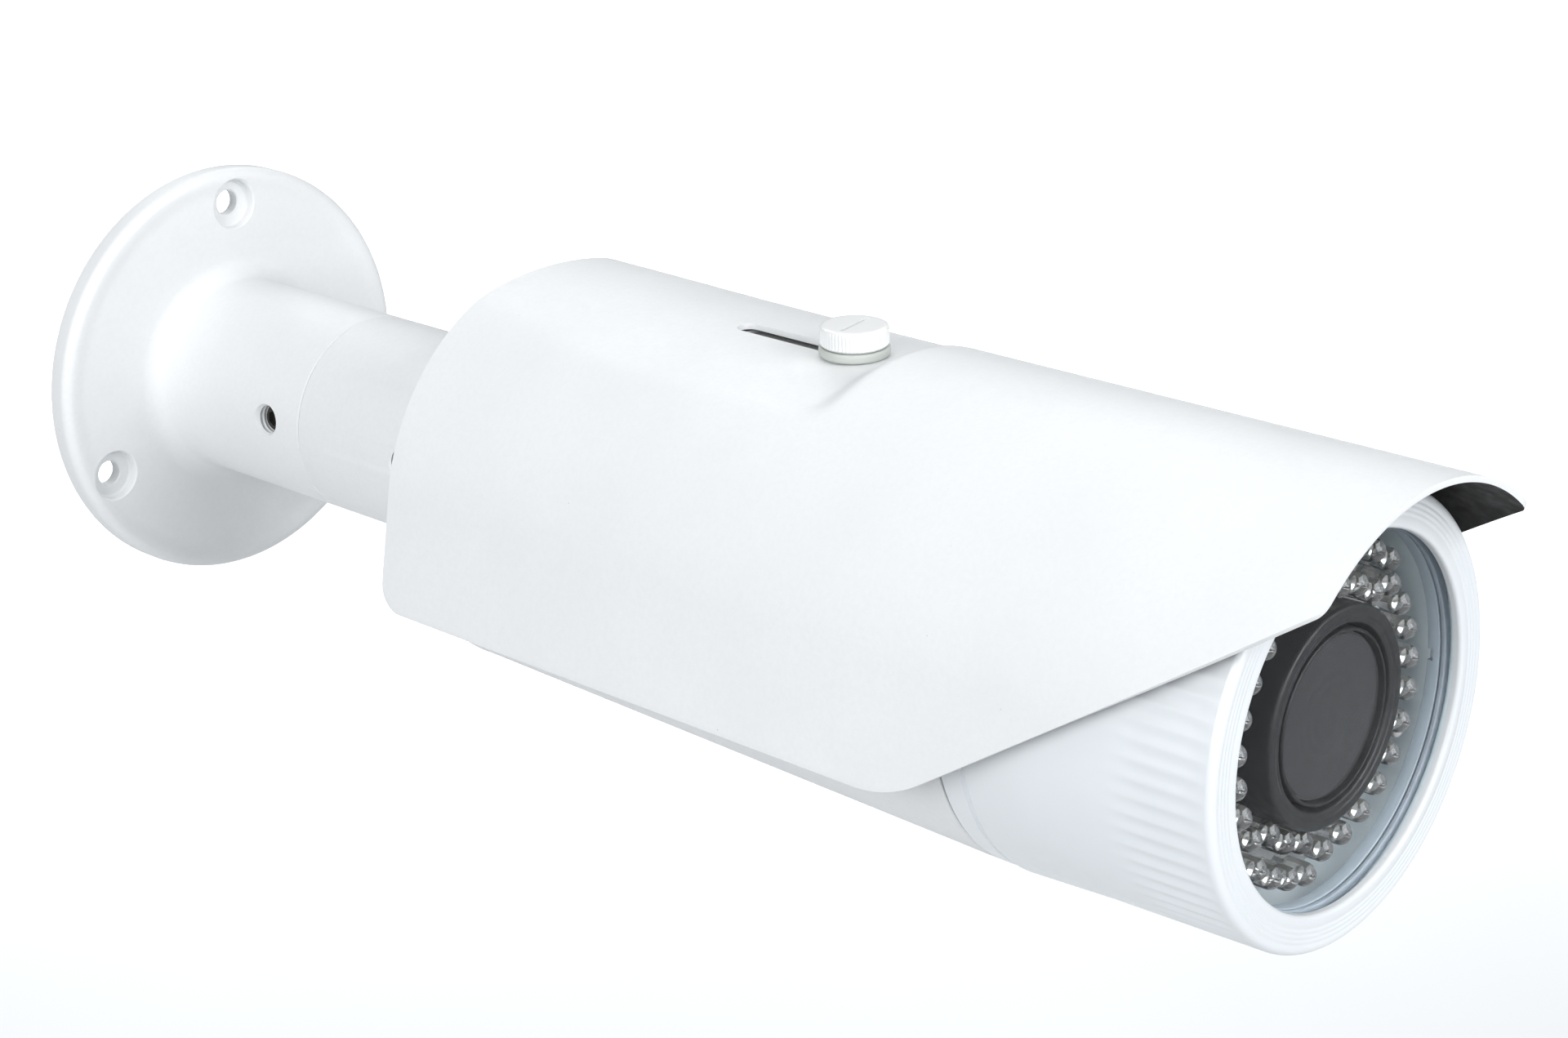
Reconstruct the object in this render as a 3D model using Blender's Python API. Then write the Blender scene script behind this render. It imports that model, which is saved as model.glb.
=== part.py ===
"""Wall-mounted bullet security camera with a sliding sunshield.

The wall is the plane Y = 0 and the camera points along -Y, with +Z up. Every piece on the camera's axis is
laid out by its distance out from the wall.
"""

import math

import bmesh
import bpy
from mathutils import Matrix, Vector

MM = 0.001
GAP = 0.3 * MM  # clearance between pieces that touch or run on each other
THIN_GAP = 0.6 * MM  # the dark joint line between the barrel and the front cover
SIDES = 32  # facets round the large turned pieces
SMALL_SIDES = 16
SCREW_SIDES = 10

# Wall bracket
BRACKET_CLOCKING = math.radians(5.5)  # the bracket is screwed on a little turned, top towards +X
FLANGE_RADIUS = 53.3 * MM
FLANGE_THICKNESS = 6.5 * MM
FLANGE_EDGE_ROUND = 2.4 * MM
FLANGE_DISH = 0.5 * MM
WALL_SCREW_COUNT = 3
WALL_SCREW_CIRCLE = 43.8 * MM
WALL_SCREW_HOLE = 3.2 * MM
WALL_SCREW_HEAD = 6.25 * MM
WALL_SCREW_SEAT = 3.2 * MM
NECK_RADIUS = 24.87 * MM
NECK_FILLET = 5.0 * MM
SOCKET_OUT = 62.5 * MM
SOCKET_DEPTH = 25.8 * MM
SPIGOT_RADIUS = NECK_RADIUS - 5.47 * MM
CABLE_BORE = SPIGOT_RADIUS - 6.9 * MM
GRUB_OUT = SOCKET_OUT - 12.5 * MM
GRUB_RADIUS = 3.45 * MM
GRUB_RECESS = 2.6 * MM
HEX_SOCKET = 2.0 * MM

# Tilt joint
TILT_OUT = SOCKET_OUT + 38.0 * MM
CHEEK_RADIUS = 10.7 * MM
FORK_HALF_WIDTH = 10.3 * MM
TILT_LIMIT = math.radians(30)
CABLE_OUTLET = 9.0 * MM
BARREL_RADIUS = CHEEK_RADIUS + GAP
TILT_SCREW_INNER = FORK_HALF_WIDTH - 3.1 * MM
KNUCKLE_PLATE_RADIUS = NECK_RADIUS - 2.87 * MM
KNUCKLE_BORE = 6.0 * MM
KNUCKLE_SPIGOT = 10.8 * MM
KNUCKLE_SPIGOT_LENGTH = 15.3 * MM

# Rear cap and barrel housing
KNUCKLE_PLATE = 12.2 * MM  # its thickness, with the clearances on both sides of it
CAP_OUT = TILT_OUT + BARREL_RADIUS + KNUCKLE_PLATE + GAP
CAP_THICKNESS = 8.0 * MM
CAP_EDGE_ROUND = 4.0 * MM
HOUSING_FRONT_RADIUS = 48.05 * MM
BARREL_TAPER = 2.65 * MM
HOUSING_REAR_RADIUS = HOUSING_FRONT_RADIUS - BARREL_TAPER
HOUSING_WALL = 3.6 * MM
HOUSING_BORE = HOUSING_REAR_RADIUS - HOUSING_WALL
BARREL_LENGTH = 160.2 * MM
HOUSING_FRONT_OUT = CAP_OUT + BARREL_LENGTH
CAP_RING_RADIUS = HOUSING_BORE - 7.8 * MM
CAP_RING_WALL = 3.5 * MM
CAP_RING_LENGTH = 8.0 * MM
CAP_SCREW_CIRCLE = CAP_RING_RADIUS + 4.6 * MM
CAP_SCREW_RADIUS = 1.5 * MM
CAP_SCREW_HEAD = 2.8 * MM
CAP_SCREW_COUNT = 4
COVER_THREAD_RADIUS = HOUSING_BORE + 2.5 * MM
COVER_THREAD_LENGTH = 21.3 * MM
O_RING_MINOR = 0.75 * MM

COVER_LENGTH = 65.3 * MM
COVER_FACE_OUT = HOUSING_FRONT_OUT + COVER_LENGTH

# Sunshield: a bent sheet round the barrel, its crown pressed lower to seat on the barrel
SHIELD_RADIUS = HOUSING_FRONT_RADIUS + 3.85 * MM
SHIELD_SHEET = 1.3 * MM
SHIELD_WALL_ANGLE = math.radians(80)  # where the arch turns into its flat, flaring side walls
SHIELD_REAR_OUT = CAP_OUT + 3.9 * MM
SHIELD_VISOR = 14.5 * MM  # how far its tip stands out past the cover
SHIELD_TIP_OUT = COVER_FACE_OUT + SHIELD_VISOR
SHIELD_LOWER_EDGE = -17.3 * MM
SHIELD_TIP_HEIGHT = 38.2 * MM
SHIELD_CUT_SLOPE = 0.655
SHIELD_TIP_ROUND = 3.0 * MM
SHIELD_FRONT_ROUND = 30.0 * MM
SHIELD_REAR_ROUND = 6.5 * MM
CROWN_ARC_RADIUS = 85.0 * MM
CROWN_HEIGHT = HOUSING_FRONT_RADIUS + 0.25 * MM
CROWN_REAR_HEIGHT = CROWN_HEIGHT + 2.0 * MM
CROWN_RAMP = 5.0 * MM
SHIELD_TRAVEL = 30.0 * MM
SLOT_WIDTH = 5.4 * MM
THUMBSCREW_OUT = HOUSING_FRONT_OUT - 61.3 * MM
CROWN_LEVEL_OUT = THUMBSCREW_OUT - 35.9 * MM
CROWN_FRONT_OUT = THUMBSCREW_OUT + 9.6 * MM
THUMBSCREW_RADIUS = 7.4 * MM
THUMBSCREW_HEIGHT = 4.4 * MM
THUMBSCREW_SHANK = SLOT_WIDTH / 2 - GAP
WASHER_RADIUS = 7.7 * MM
WASHER_THICKNESS = 1.75 * MM
LAND_HEIGHT = CROWN_HEIGHT - 3.1 * MM
LAND_REAR_OUT = THUMBSCREW_OUT - 32.9 * MM
LAND_FRONT_OUT = THUMBSCREW_OUT + 52.1 * MM
SCREW_BOSS_RADIUS = 5.6 * MM
SCREW_BOSS_BOTTOM = LAND_HEIGHT - 7.2 * MM
THUMBSCREW_END = SCREW_BOSS_BOTTOM + 2.2 * MM

# Front cover and window
COVER_GROOVE_OUT = HOUSING_FRONT_OUT + 6.2 * MM
COVER_FLARE_RADIUS = HOUSING_FRONT_RADIUS + 0.25 * MM
COVER_WAIST_OUT = HOUSING_FRONT_OUT + 28.3 * MM
COVER_WAIST_RADIUS = HOUSING_FRONT_RADIUS - 0.65 * MM
COVER_FRONT_RADIUS = HOUSING_FRONT_RADIUS - 1.45 * MM
COVER_RIM_ROUND = 1.7 * MM
COVER_BORE = COVER_FRONT_RADIUS - 4.1 * MM
WINDOW_RADIUS = COVER_BORE - 2.0 * MM
WINDOW_OPENING = WINDOW_RADIUS - 2.2 * MM
WINDOW_RECESS = 2.1 * MM
WINDOW_THICKNESS = 2.0 * MM
GASKET_THICKNESS = 1.0 * MM
CLAMP_RING_THICKNESS = 2.8 * MM

# Light-emitting diodes on their board, and the shroud round the lens
LED_BOARD_OUT = COVER_FACE_OUT - 15.0 * MM
BOARD_THICKNESS = 1.6 * MM
LED_BOARD_RADIUS = WINDOW_OPENING - 1.8 * MM
LED_RADIUS = 2.5 * MM
LED_TIP_OUT = COVER_FACE_OUT - 5.3 * MM
LED_CARRIER_THICKNESS = 1.0 * MM
LED_RING_RADIUS = LED_BOARD_RADIUS - 7.0 * MM
# First angle, pitch and count of each side row, in degrees from the top towards -X
LED_SIDE_ROWS = ((4.3, 13.7, 10), (-46.0, -13.15, 11))
LED_OUTER_ROW = LED_RING_RADIUS + 3.5 * MM
LED_OUTER_ANGLES = (-38.5, -27.5, -16.5, -5.5, 139.5, 150.5, 161.5, 172.5)
LED_INNER_ROW = LED_RING_RADIUS - 3.65 * MM
LED_INNER_ANGLES = (-36.5, -22.0, -7.5, 137.5, 152.0, 166.5)
SHROUD_RADIUS = LED_INNER_ROW - LED_RADIUS - 0.35 * MM
SHROUD_FRONT_RADIUS = SHROUD_RADIUS - 0.2 * MM
LENS_FRONT_RADIUS = 17.9 * MM
SHROUD_BORE = LENS_FRONT_RADIUS + 0.4 * MM
SHROUD_MOUTH = SHROUD_BORE + 0.7 * MM
STANDOFF_CIRCLE = LED_BOARD_RADIUS - 3.0 * MM
STANDOFF_RADIUS = 2.2 * MM
STANDOFF_ANGLES = (70.0, -65.0, -165.0)
LIGHT_SENSOR_CIRCLE = LED_BOARD_RADIUS - 2.6 * MM
LIGHT_SENSOR_ANGLE = -115.0

# Chassis, boards and lens
BULKHEAD_OUT = HOUSING_FRONT_OUT - 8.2 * MM
BULKHEAD_THICKNESS = 3.0 * MM
BULKHEAD_RADIUS = HOUSING_BORE - 2 * GAP
BULKHEAD_LEDGE = HOUSING_BORE - 5.3 * MM
CHASSIS_SCREW_CIRCLE = BULKHEAD_LEDGE + 2.6 * MM
TRAY_HALF_WIDTH = 26.0 * MM
TRAY_TOP = -22.0 * MM
TRAY_THICKNESS = 2.0 * MM
TRAY_REAR_OUT = CAP_OUT + 24.0 * MM
POST_HEIGHT = 5.7 * MM
MAIN_BOARD_HALF_WIDTH = 25.0 * MM
MAIN_BOARD_OUT = (BULKHEAD_OUT - 106.0 * MM, BULKHEAD_OUT - 21.0 * MM)
LENS_THREAD_RADIUS = 12.4 * MM
LENS_BODY_RADIUS = 15.5 * MM
LENS_RING_SEAT = 14.0 * MM
LENS_RING_RADIUS = 17.2 * MM
LENS_BORE = 9.0 * MM
LENS_MOUNT_RADIUS = 18.0 * MM
LENS_FRONT_OUT = COVER_FACE_OUT - 4.9 * MM
LENS_RIM = 0.7 * MM
LENS_POCKET = 6.0 * MM
ZOOM_SEAT = (BULKHEAD_OUT + 22.0 * MM, BULKHEAD_OUT + 32.0 * MM)
FOCUS_SEAT = (LED_BOARD_OUT - 18.5 * MM, LED_BOARD_OUT - 7.5 * MM)
FILTER_TRAVEL = 9.0 * MM
SENSOR_BOARD_HALF = 19.0 * MM
SENSOR_BOARD_OUT = BULKHEAD_OUT - 10.9 * MM


def clear_scene():
    for old in list(bpy.data.objects):
        bpy.data.objects.remove(old, do_unlink=True)


def finish(name, colour, roughness, metallic=0.0):
    material = bpy.data.materials.new(name)
    material.use_nodes = True
    shader = material.node_tree.nodes["Principled BSDF"]
    shader.inputs["Base Color"].default_value = (*colour, 1.0)
    shader.inputs["Roughness"].default_value = roughness
    shader.inputs["Metallic"].default_value = metallic
    return material


# Frames: on the camera's axis local Z points out from the wall and local Y is up
ON_AXIS = Matrix.Rotation(math.radians(90), 4, "X")
ON_BRACKET = Matrix.Rotation(BRACKET_CLOCKING, 4, "Y") @ ON_AXIS


def facing(location, direction):
    """A frame at a place whose local Z points in a direction."""
    turn = Vector(direction).to_track_quat("Z", "Y").to_matrix().to_4x4()
    return Matrix.Translation(location) @ turn


def around(radius, angle_from_top, out, base=ON_AXIS):
    """A frame on a circle round the axis, its local Z still pointing out; angles run from the top to -X."""
    angle = math.radians(angle_from_top)
    place = Vector((-radius * math.sin(angle), radius * math.cos(angle), out))
    return base @ Matrix.Translation(place)


def radial(angle_from_top, out, base=ON_AXIS):
    """A frame on the axis whose local Z points away from it."""
    angle = math.radians(angle_from_top)
    turn = Vector((-math.sin(angle), math.cos(angle), 0)).to_track_quat("Z", "Y").to_matrix().to_4x4()
    return base @ Matrix.Translation((0, 0, out)) @ turn


def arc(centre, radius, start, end, steps):
    """Points along an arc, with angles in degrees from the first coordinate towards the second."""
    angles = [math.radians(start + (end - start) * step / steps) for step in range(steps + 1)]
    return [(centre[0] + radius * math.cos(a), centre[1] + radius * math.sin(a)) for a in angles]


def add_object(name, shape, frame, material):
    """Turns a bmesh into a named object; with no material it is a cutter or a piece to be joined on."""
    bmesh.ops.recalc_face_normals(shape, faces=shape.faces)
    mesh = bpy.data.meshes.new(name)
    shape.to_mesh(mesh)
    shape.free()
    mesh.shade_smooth()
    mesh.set_sharp_from_angle(angle=math.radians(35))
    made = bpy.data.objects.new(name, mesh)
    made.matrix_world = frame
    bpy.context.scene.collection.objects.link(made)
    if material is None:
        made.hide_render = True
        made.display_type = "WIRE"
    else:
        mesh.materials.append(material)
    return made


def turned(name, outline, frame=ON_AXIS, material=None, sides=SIDES):
    """A solid turned about local Z from an outline of (radius, height) points."""
    shape = bmesh.new()
    corners = [shape.verts.new((radius, 0, height)) for radius, height in outline]
    edges = [shape.edges.new(pair) for pair in zip(corners, corners[1:])]
    if outline[0][0] > 0 or outline[-1][0] > 0:
        edges.append(shape.edges.new((corners[-1], corners[0])))
    bmesh.ops.spin(
        shape,
        geom=corners + edges,
        cent=(0, 0, 0),
        axis=(0, 0, 1),
        angle=2 * math.pi,
        steps=sides,
        use_merge=True,
    )
    bmesh.ops.remove_doubles(shape, verts=shape.verts, dist=0.001 * MM)
    return add_object(name, shape, frame, material)


def rod(name, radius, low, high, frame=ON_AXIS, material=None, sides=SMALL_SIDES):
    return turned(name, [(0, low), (radius, low), (radius, high), (0, high)], frame, material, sides)


def washer(name, inner, outer, low, high, frame=ON_AXIS, material=None, sides=SIDES):
    return turned(name, [(inner, low), (outer, low), (outer, high), (inner, high)], frame, material, sides)


def o_ring(name, radius, out, material):
    section = arc((radius, out), O_RING_MINOR, 0, 300, 5)
    return turned(name, section, ON_AXIS, material)


def block(name, low, high, material=None, frame=ON_AXIS):
    """A box between two corners given in the frame's own x, y and out."""
    shape = bmesh.new()
    bmesh.ops.create_cube(shape, size=1)
    size = [b - a for a, b in zip(low, high)]
    middle = [(a + b) / 2 for a, b in zip(low, high)]
    bmesh.ops.scale(shape, vec=size, verts=shape.verts)
    bmesh.ops.translate(shape, vec=middle, verts=shape.verts)
    return add_object(name, shape, frame, material)


def side_prism(name, outline, half_width, frame=ON_AXIS):
    """A helper solid pushed out along X from an outline of (out, up) points."""
    shape = bmesh.new()
    corners = [shape.verts.new((-half_width, up, out)) for out, up in outline]
    face = shape.faces.new(corners)
    pushed = bmesh.ops.extrude_face_region(shape, geom=[face])["geom"]
    moved = [item for item in pushed if isinstance(item, bmesh.types.BMVert)]
    bmesh.ops.translate(shape, vec=(2 * half_width, 0, 0), verts=moved)
    return add_object(name, shape, frame, None)


def combine(target, operation, helpers):
    for helper in helpers:
        modifier = target.modifiers.new(f"{operation.lower()} {helper.name}", "BOOLEAN")
        modifier.operation = operation
        modifier.solver = "EXACT"
        modifier.object = helper


def cut(target, *helpers):
    combine(target, "DIFFERENCE", helpers)


def join(target, *helpers):
    combine(target, "UNION", helpers)


def keep_inside(target, *helpers):
    combine(target, "INTERSECT", helpers)


def socket_floor():
    return SOCKET_OUT - SOCKET_DEPTH


def wall_flange(material):
    face = FLANGE_THICKNESS - FLANGE_DISH
    edge = FLANGE_EDGE_ROUND
    bore = SPIGOT_RADIUS + GAP
    outline = [(CABLE_BORE, 0), (FLANGE_RADIUS, 0)]
    outline += arc((FLANGE_RADIUS - edge, FLANGE_THICKNESS - edge), edge, 0, 90, 4)
    outline += [(FLANGE_RADIUS - 2 * edge, face)]
    outline += arc((NECK_RADIUS + NECK_FILLET, face + NECK_FILLET), NECK_FILLET, 270, 180, 5)
    outline += [(NECK_RADIUS, SOCKET_OUT), (bore, SOCKET_OUT), (bore, socket_floor())]
    outline += [(CABLE_BORE, socket_floor())]
    flange = turned("wall_flange", outline, ON_BRACKET, material)
    for number in range(WALL_SCREW_COUNT):
        frame = around(WALL_SCREW_CIRCLE, 360 / WALL_SCREW_COUNT * number, 0, ON_BRACKET)
        hole = [(0, -1 * MM), (WALL_SCREW_HOLE, -1 * MM), (WALL_SCREW_HOLE, WALL_SCREW_SEAT)]
        hole += [(WALL_SCREW_HEAD, WALL_SCREW_SEAT), (WALL_SCREW_HEAD, FLANGE_THICKNESS + 1 * MM)]
        hole += [(0, FLANGE_THICKNESS + 1 * MM)]
        cut(flange, turned(f"cut_wall_screw_{number + 1}", hole, frame, sides=SMALL_SIDES))
    frame = radial(90, GRUB_OUT, ON_BRACKET)
    cut(flange, rod("cut_grub_hole", GRUB_RADIUS + GAP, SPIGOT_RADIUS / 2, NECK_RADIUS * 1.2, frame))
    return flange


def set_screw(name, frame, low, high, material):
    """A headless screw with a round-bottomed key socket in its outer end."""
    socket = min(4 * MM, (high - low) * 0.6)
    outline = [(0, low), (GRUB_RADIUS, low), (GRUB_RADIUS, high), (HEX_SOCKET, high)]
    outline += [(HEX_SOCKET, high - socket), (0, high - socket)]
    return turned(name, outline, frame, material, SCREW_SIDES)


def base_grub_screw(material):
    frame = radial(90, GRUB_OUT, ON_BRACKET)
    return set_screw("base_grub_screw", frame, SPIGOT_RADIUS + GAP, NECK_RADIUS - GRUB_RECESS, material)


def swivel_arm(material):
    """Its fork is roofed over above the knuckle's barrel, and cut back just enough for the tilt."""
    rear = socket_floor() + GAP
    shoulder = SOCKET_OUT + GAP
    tip = TILT_OUT + CHEEK_RADIUS + 1 * MM
    room = BARREL_RADIUS + 0.5 * MM
    narrow = TILT_OUT - room - 1 * MM
    outlet = TILT_OUT - 5 * MM
    outline = [
        (0, outlet), (CABLE_OUTLET, outlet), (CABLE_OUTLET, narrow), (CABLE_BORE, narrow), (CABLE_BORE, rear)
    ]
    outline += [
        (SPIGOT_RADIUS, rear),
        (SPIGOT_RADIUS, shoulder),
        (NECK_RADIUS, shoulder),
        (NECK_RADIUS, tip),
        (0, tip),
    ]
    arm = turned("swivel_arm", outline, ON_BRACKET, material)
    high = NECK_RADIUS * 1.2
    slope_start = TILT_OUT + (CHEEK_RADIUS - high * math.sin(TILT_LIMIT)) / math.cos(TILT_LIMIT)
    limit = math.degrees(TILT_LIMIT)
    profile = [(rear - 5 * MM, -high), (rear - 5 * MM, high), (slope_start, high)]
    profile += arc((TILT_OUT, 0), CHEEK_RADIUS, limit, -limit, 6)
    profile += [(slope_start, -high)]
    keep_inside(arm, side_prism("keep_cheeks", profile, high, ON_BRACKET))
    across = radial(90, TILT_OUT, ON_BRACKET)
    room_for_barrel = rod("cut_barrel_room", room, -FORK_HALF_WIDTH, FORK_HALF_WIDTH, across, sides=24)
    wedge = [
        (TILT_OUT - 2 * MM, -room),
        (TILT_OUT - 2 * MM, room),
        (TILT_OUT + high, 2 * high),
        (TILT_OUT + high, -2 * high),
    ]
    room_for_web = side_prism("cut_web_room", wedge, FORK_HALF_WIDTH, ON_BRACKET)
    cut(arm, room_for_barrel, room_for_web, rod("cut_tilt_holes", GRUB_RADIUS + GAP, -high, high, across))
    return arm


def tilt_screw(name, side, material):
    frame = radial(90 * side, TILT_OUT, ON_BRACKET)
    return set_screw(name, frame, TILT_SCREW_INNER, NECK_RADIUS - GRUB_RECESS, material)


def tilt_knuckle(material):
    """The cable runs through its barrel, plate and threaded spigot."""
    half = FORK_HALF_WIDTH - GAP
    plate = TILT_OUT + BARREL_RADIUS
    top = CAP_OUT - GAP
    tip = top + KNUCKLE_SPIGOT_LENGTH
    outline = [(0, plate), (KNUCKLE_PLATE_RADIUS, plate), (KNUCKLE_PLATE_RADIUS, top), (KNUCKLE_SPIGOT, top)]
    outline += [(KNUCKLE_SPIGOT, tip), (0, tip)]
    knuckle = turned("tilt_knuckle", outline, ON_BRACKET, material)
    across = radial(90, TILT_OUT, ON_BRACKET)
    join(knuckle, rod("add_barrel", BARREL_RADIUS, -half, half, across, sides=24))
    web_low = (-half + 0.1 * MM, -BARREL_RADIUS * 0.8, TILT_OUT)
    web_high = (half - 0.1 * MM, BARREL_RADIUS * 0.8, plate + 1 * MM)
    join(knuckle, block("add_web", web_low, web_high, frame=ON_BRACKET))
    cut(knuckle, rod("cut_cable", KNUCKLE_BORE, TILT_OUT - 20 * MM, tip + 5 * MM, ON_BRACKET))
    cut(knuckle, rod("cut_barrel_holes", GRUB_RADIUS + GAP, -2 * half, 2 * half, across))
    return knuckle


def rear_cap(material):
    inner_face = CAP_OUT + CAP_THICKNESS
    ring_end = inner_face + CAP_RING_LENGTH
    bore = KNUCKLE_SPIGOT + GAP
    edge = CAP_EDGE_ROUND
    seal = knuckle_seal_radius()
    ring_groove = ring_end - 4.0 * MM
    outline = [(bore, CAP_OUT), (seal - 1.3 * MM, CAP_OUT), (seal - 1.3 * MM, CAP_OUT + 2 * MM)]
    outline += [(seal + 1.3 * MM, CAP_OUT + 2 * MM), (seal + 1.3 * MM, CAP_OUT)]
    outline += arc((HOUSING_REAR_RADIUS - edge, CAP_OUT + edge), edge, 270, 360, 4)
    outline += [(HOUSING_REAR_RADIUS, inner_face), (CAP_RING_RADIUS, inner_face)]
    outline += [
        (CAP_RING_RADIUS, ring_groove - 1.3 * MM), (CAP_RING_RADIUS - 1.7 * MM, ring_groove - 1.3 * MM)
    ]
    outline += [
        (CAP_RING_RADIUS - 1.7 * MM, ring_groove + 1.3 * MM), (CAP_RING_RADIUS, ring_groove + 1.3 * MM)
    ]
    outline += [(CAP_RING_RADIUS, ring_end), (CAP_RING_RADIUS - CAP_RING_WALL, ring_end)]
    outline += [(CAP_RING_RADIUS - CAP_RING_WALL, inner_face), (bore, inner_face)]
    cap = turned("rear_cap", outline, ON_AXIS, material)
    for number in range(CAP_SCREW_COUNT):
        cut(cap, cap_screw_hole(f"cut_cap_screw_{number + 1}", number, inner_face + 2 * MM))
    return cap


def knuckle_seal_radius():
    return KNUCKLE_SPIGOT + 6.4 * MM


def cap_screw_frame(number):
    return around(CAP_SCREW_CIRCLE, 45 + 360 / CAP_SCREW_COUNT * number, CAP_OUT)


def cap_screw_hole(name, number, end_out):
    """The counterbored clearance hole of one rear cap screw, down to a distance from the wall."""
    seat = 3.8 * MM
    hole = CAP_SCREW_RADIUS + GAP
    head = CAP_SCREW_HEAD + GAP
    outline = [(0, -5 * MM), (head, -5 * MM), (head, seat), (hole, seat)]
    outline += [(hole, end_out - CAP_OUT), (0, end_out - CAP_OUT)]
    return turned(name, outline, cap_screw_frame(number), sides=SCREW_SIDES)


def rear_cap_screw(number, material):
    outline = [
        (0, 0.5 * MM), (CAP_SCREW_HEAD, 0.5 * MM), (CAP_SCREW_HEAD, 3.5 * MM), (CAP_SCREW_RADIUS, 3.5 * MM)
    ]
    outline += [(CAP_SCREW_RADIUS, 14 * MM), (0, 14 * MM)]
    return turned(f"rear_cap_screw_{number + 1}", outline, cap_screw_frame(number), material, SCREW_SIDES)


def housing(material):
    rear = CAP_OUT + CAP_THICKNESS + GAP
    ring_end = rear + CAP_RING_LENGTH
    ring_bore = CAP_RING_RADIUS + GAP
    step = HOUSING_BORE - BULKHEAD_LEDGE
    ledge = BULKHEAD_OUT - GAP
    thread_end = HOUSING_FRONT_OUT + COVER_THREAD_LENGTH
    outline = [(ring_bore, rear), (HOUSING_REAR_RADIUS, rear), (HOUSING_FRONT_RADIUS, HOUSING_FRONT_OUT)]
    outline += [(COVER_THREAD_RADIUS, HOUSING_FRONT_OUT), (COVER_THREAD_RADIUS, thread_end)]
    outline += [(HOUSING_BORE, thread_end), (HOUSING_BORE, ledge), (BULKHEAD_LEDGE, ledge)]
    outline += [(BULKHEAD_LEDGE, ledge - 4 * MM), (HOUSING_BORE, ledge - 4 * MM - step)]
    outline += [(HOUSING_BORE, ring_end + step), (ring_bore, ring_end)]
    barrel = turned("housing", outline, ON_AXIS, material)
    across = 0.42 * HOUSING_FRONT_RADIUS
    land = block("cut_land", (-across, LAND_HEIGHT, LAND_REAR_OUT), (across, SHIELD_RADIUS, LAND_FRONT_OUT))
    cut(barrel, land)
    upright = facing((0, -THUMBSCREW_OUT, 0), (0, 0, 1))
    boss_top = (HOUSING_BORE + LAND_HEIGHT) / 2
    join(barrel, rod("add_screw_boss", SCREW_BOSS_RADIUS, SCREW_BOSS_BOTTOM, boss_top, upright))
    hole_floor = (SCREW_BOSS_BOTTOM + THUMBSCREW_END) / 2
    cut(barrel, rod("cut_thumbscrew", SLOT_WIDTH / 2, hole_floor, SHIELD_RADIUS, upright))
    for number in range(CAP_SCREW_COUNT):
        cut(barrel, cap_screw_hole(f"cut_housing_screw_{number + 1}", number, ring_end - 1 * MM))
    for side in (-1, 1):
        frame = around(CHASSIS_SCREW_CIRCLE, 90 * side, 0)
        cut(
            barrel,
            rod(f"cut_ledge_{side + 2}", 1.4 * MM, ledge - 5 * MM, ledge + 5 * MM, frame, sides=SCREW_SIDES),
        )
    return barrel


def front_cover(material):
    rear = HOUSING_FRONT_OUT + THIN_GAP
    ring_pocket = COVER_THREAD_RADIUS + 2.5 * MM
    thread = COVER_THREAD_RADIUS + GAP
    thread_end = HOUSING_FRONT_OUT + COVER_THREAD_LENGTH + GAP
    seat = COVER_FACE_OUT - WINDOW_RECESS + GAP
    pocket = WINDOW_RADIUS + GAP
    pocket_rear = clamp_ring_out() - 1 * MM
    groove = COVER_GROOVE_OUT
    rim = COVER_RIM_ROUND
    outline = [(ring_pocket, rear), (HOUSING_FRONT_RADIUS, rear), (HOUSING_FRONT_RADIUS, groove)]
    outline += [(HOUSING_FRONT_RADIUS - 0.6 * MM, groove + 0.3 * MM)]
    outline += [
        (HOUSING_FRONT_RADIUS - 0.6 * MM, groove + 0.9 * MM), (COVER_FLARE_RADIUS, groove + 1.4 * MM)
    ]
    outline += [(COVER_WAIST_RADIUS, COVER_WAIST_OUT)]
    outline += arc((COVER_FRONT_RADIUS - rim, COVER_FACE_OUT - rim), rim, 0, 90, 4)
    outline += [(WINDOW_OPENING + 0.7 * MM, COVER_FACE_OUT), (WINDOW_OPENING, COVER_FACE_OUT - 0.7 * MM)]
    outline += [(WINDOW_OPENING, seat), (pocket, seat), (pocket, pocket_rear), (COVER_BORE, pocket_rear)]
    outline += [(COVER_BORE, thread_end), (thread, thread_end), (thread, rear + 2.4 * MM)]
    outline += [(ring_pocket, rear + 2.4 * MM)]
    return turned("front_cover", outline, ON_AXIS, material)


def window_rear_out():
    return COVER_FACE_OUT - WINDOW_RECESS - WINDOW_THICKNESS


def clamp_ring_out():
    return window_rear_out() - GAP - GASKET_THICKNESS - GAP - CLAMP_RING_THICKNESS


def window_pieces(glass, rubber, metal):
    rear = window_rear_out()
    rod("window_glass", WINDOW_RADIUS, rear, rear + WINDOW_THICKNESS, material=glass, sides=SIDES)
    opening = WINDOW_OPENING + 0.1 * MM
    washer(
        "window_gasket", opening, WINDOW_RADIUS, rear - GAP - GASKET_THICKNESS, rear - GAP, material=rubber
    )
    ring = clamp_ring_out()
    washer("window_ring", opening, WINDOW_RADIUS, ring, ring + CLAMP_RING_THICKNESS, material=metal)


def led_angles():
    """(radius, angle) of each diode: two side rows on one circle and two tight double rows between them."""
    places = []
    for first, pitch, count in LED_SIDE_ROWS:
        places += [(LED_RING_RADIUS, first + pitch * number) for number in range(count)]
    places += [(LED_OUTER_ROW, angle) for angle in LED_OUTER_ANGLES]
    places += [(LED_INNER_ROW, angle) for angle in LED_INNER_ANGLES]
    return places


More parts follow.
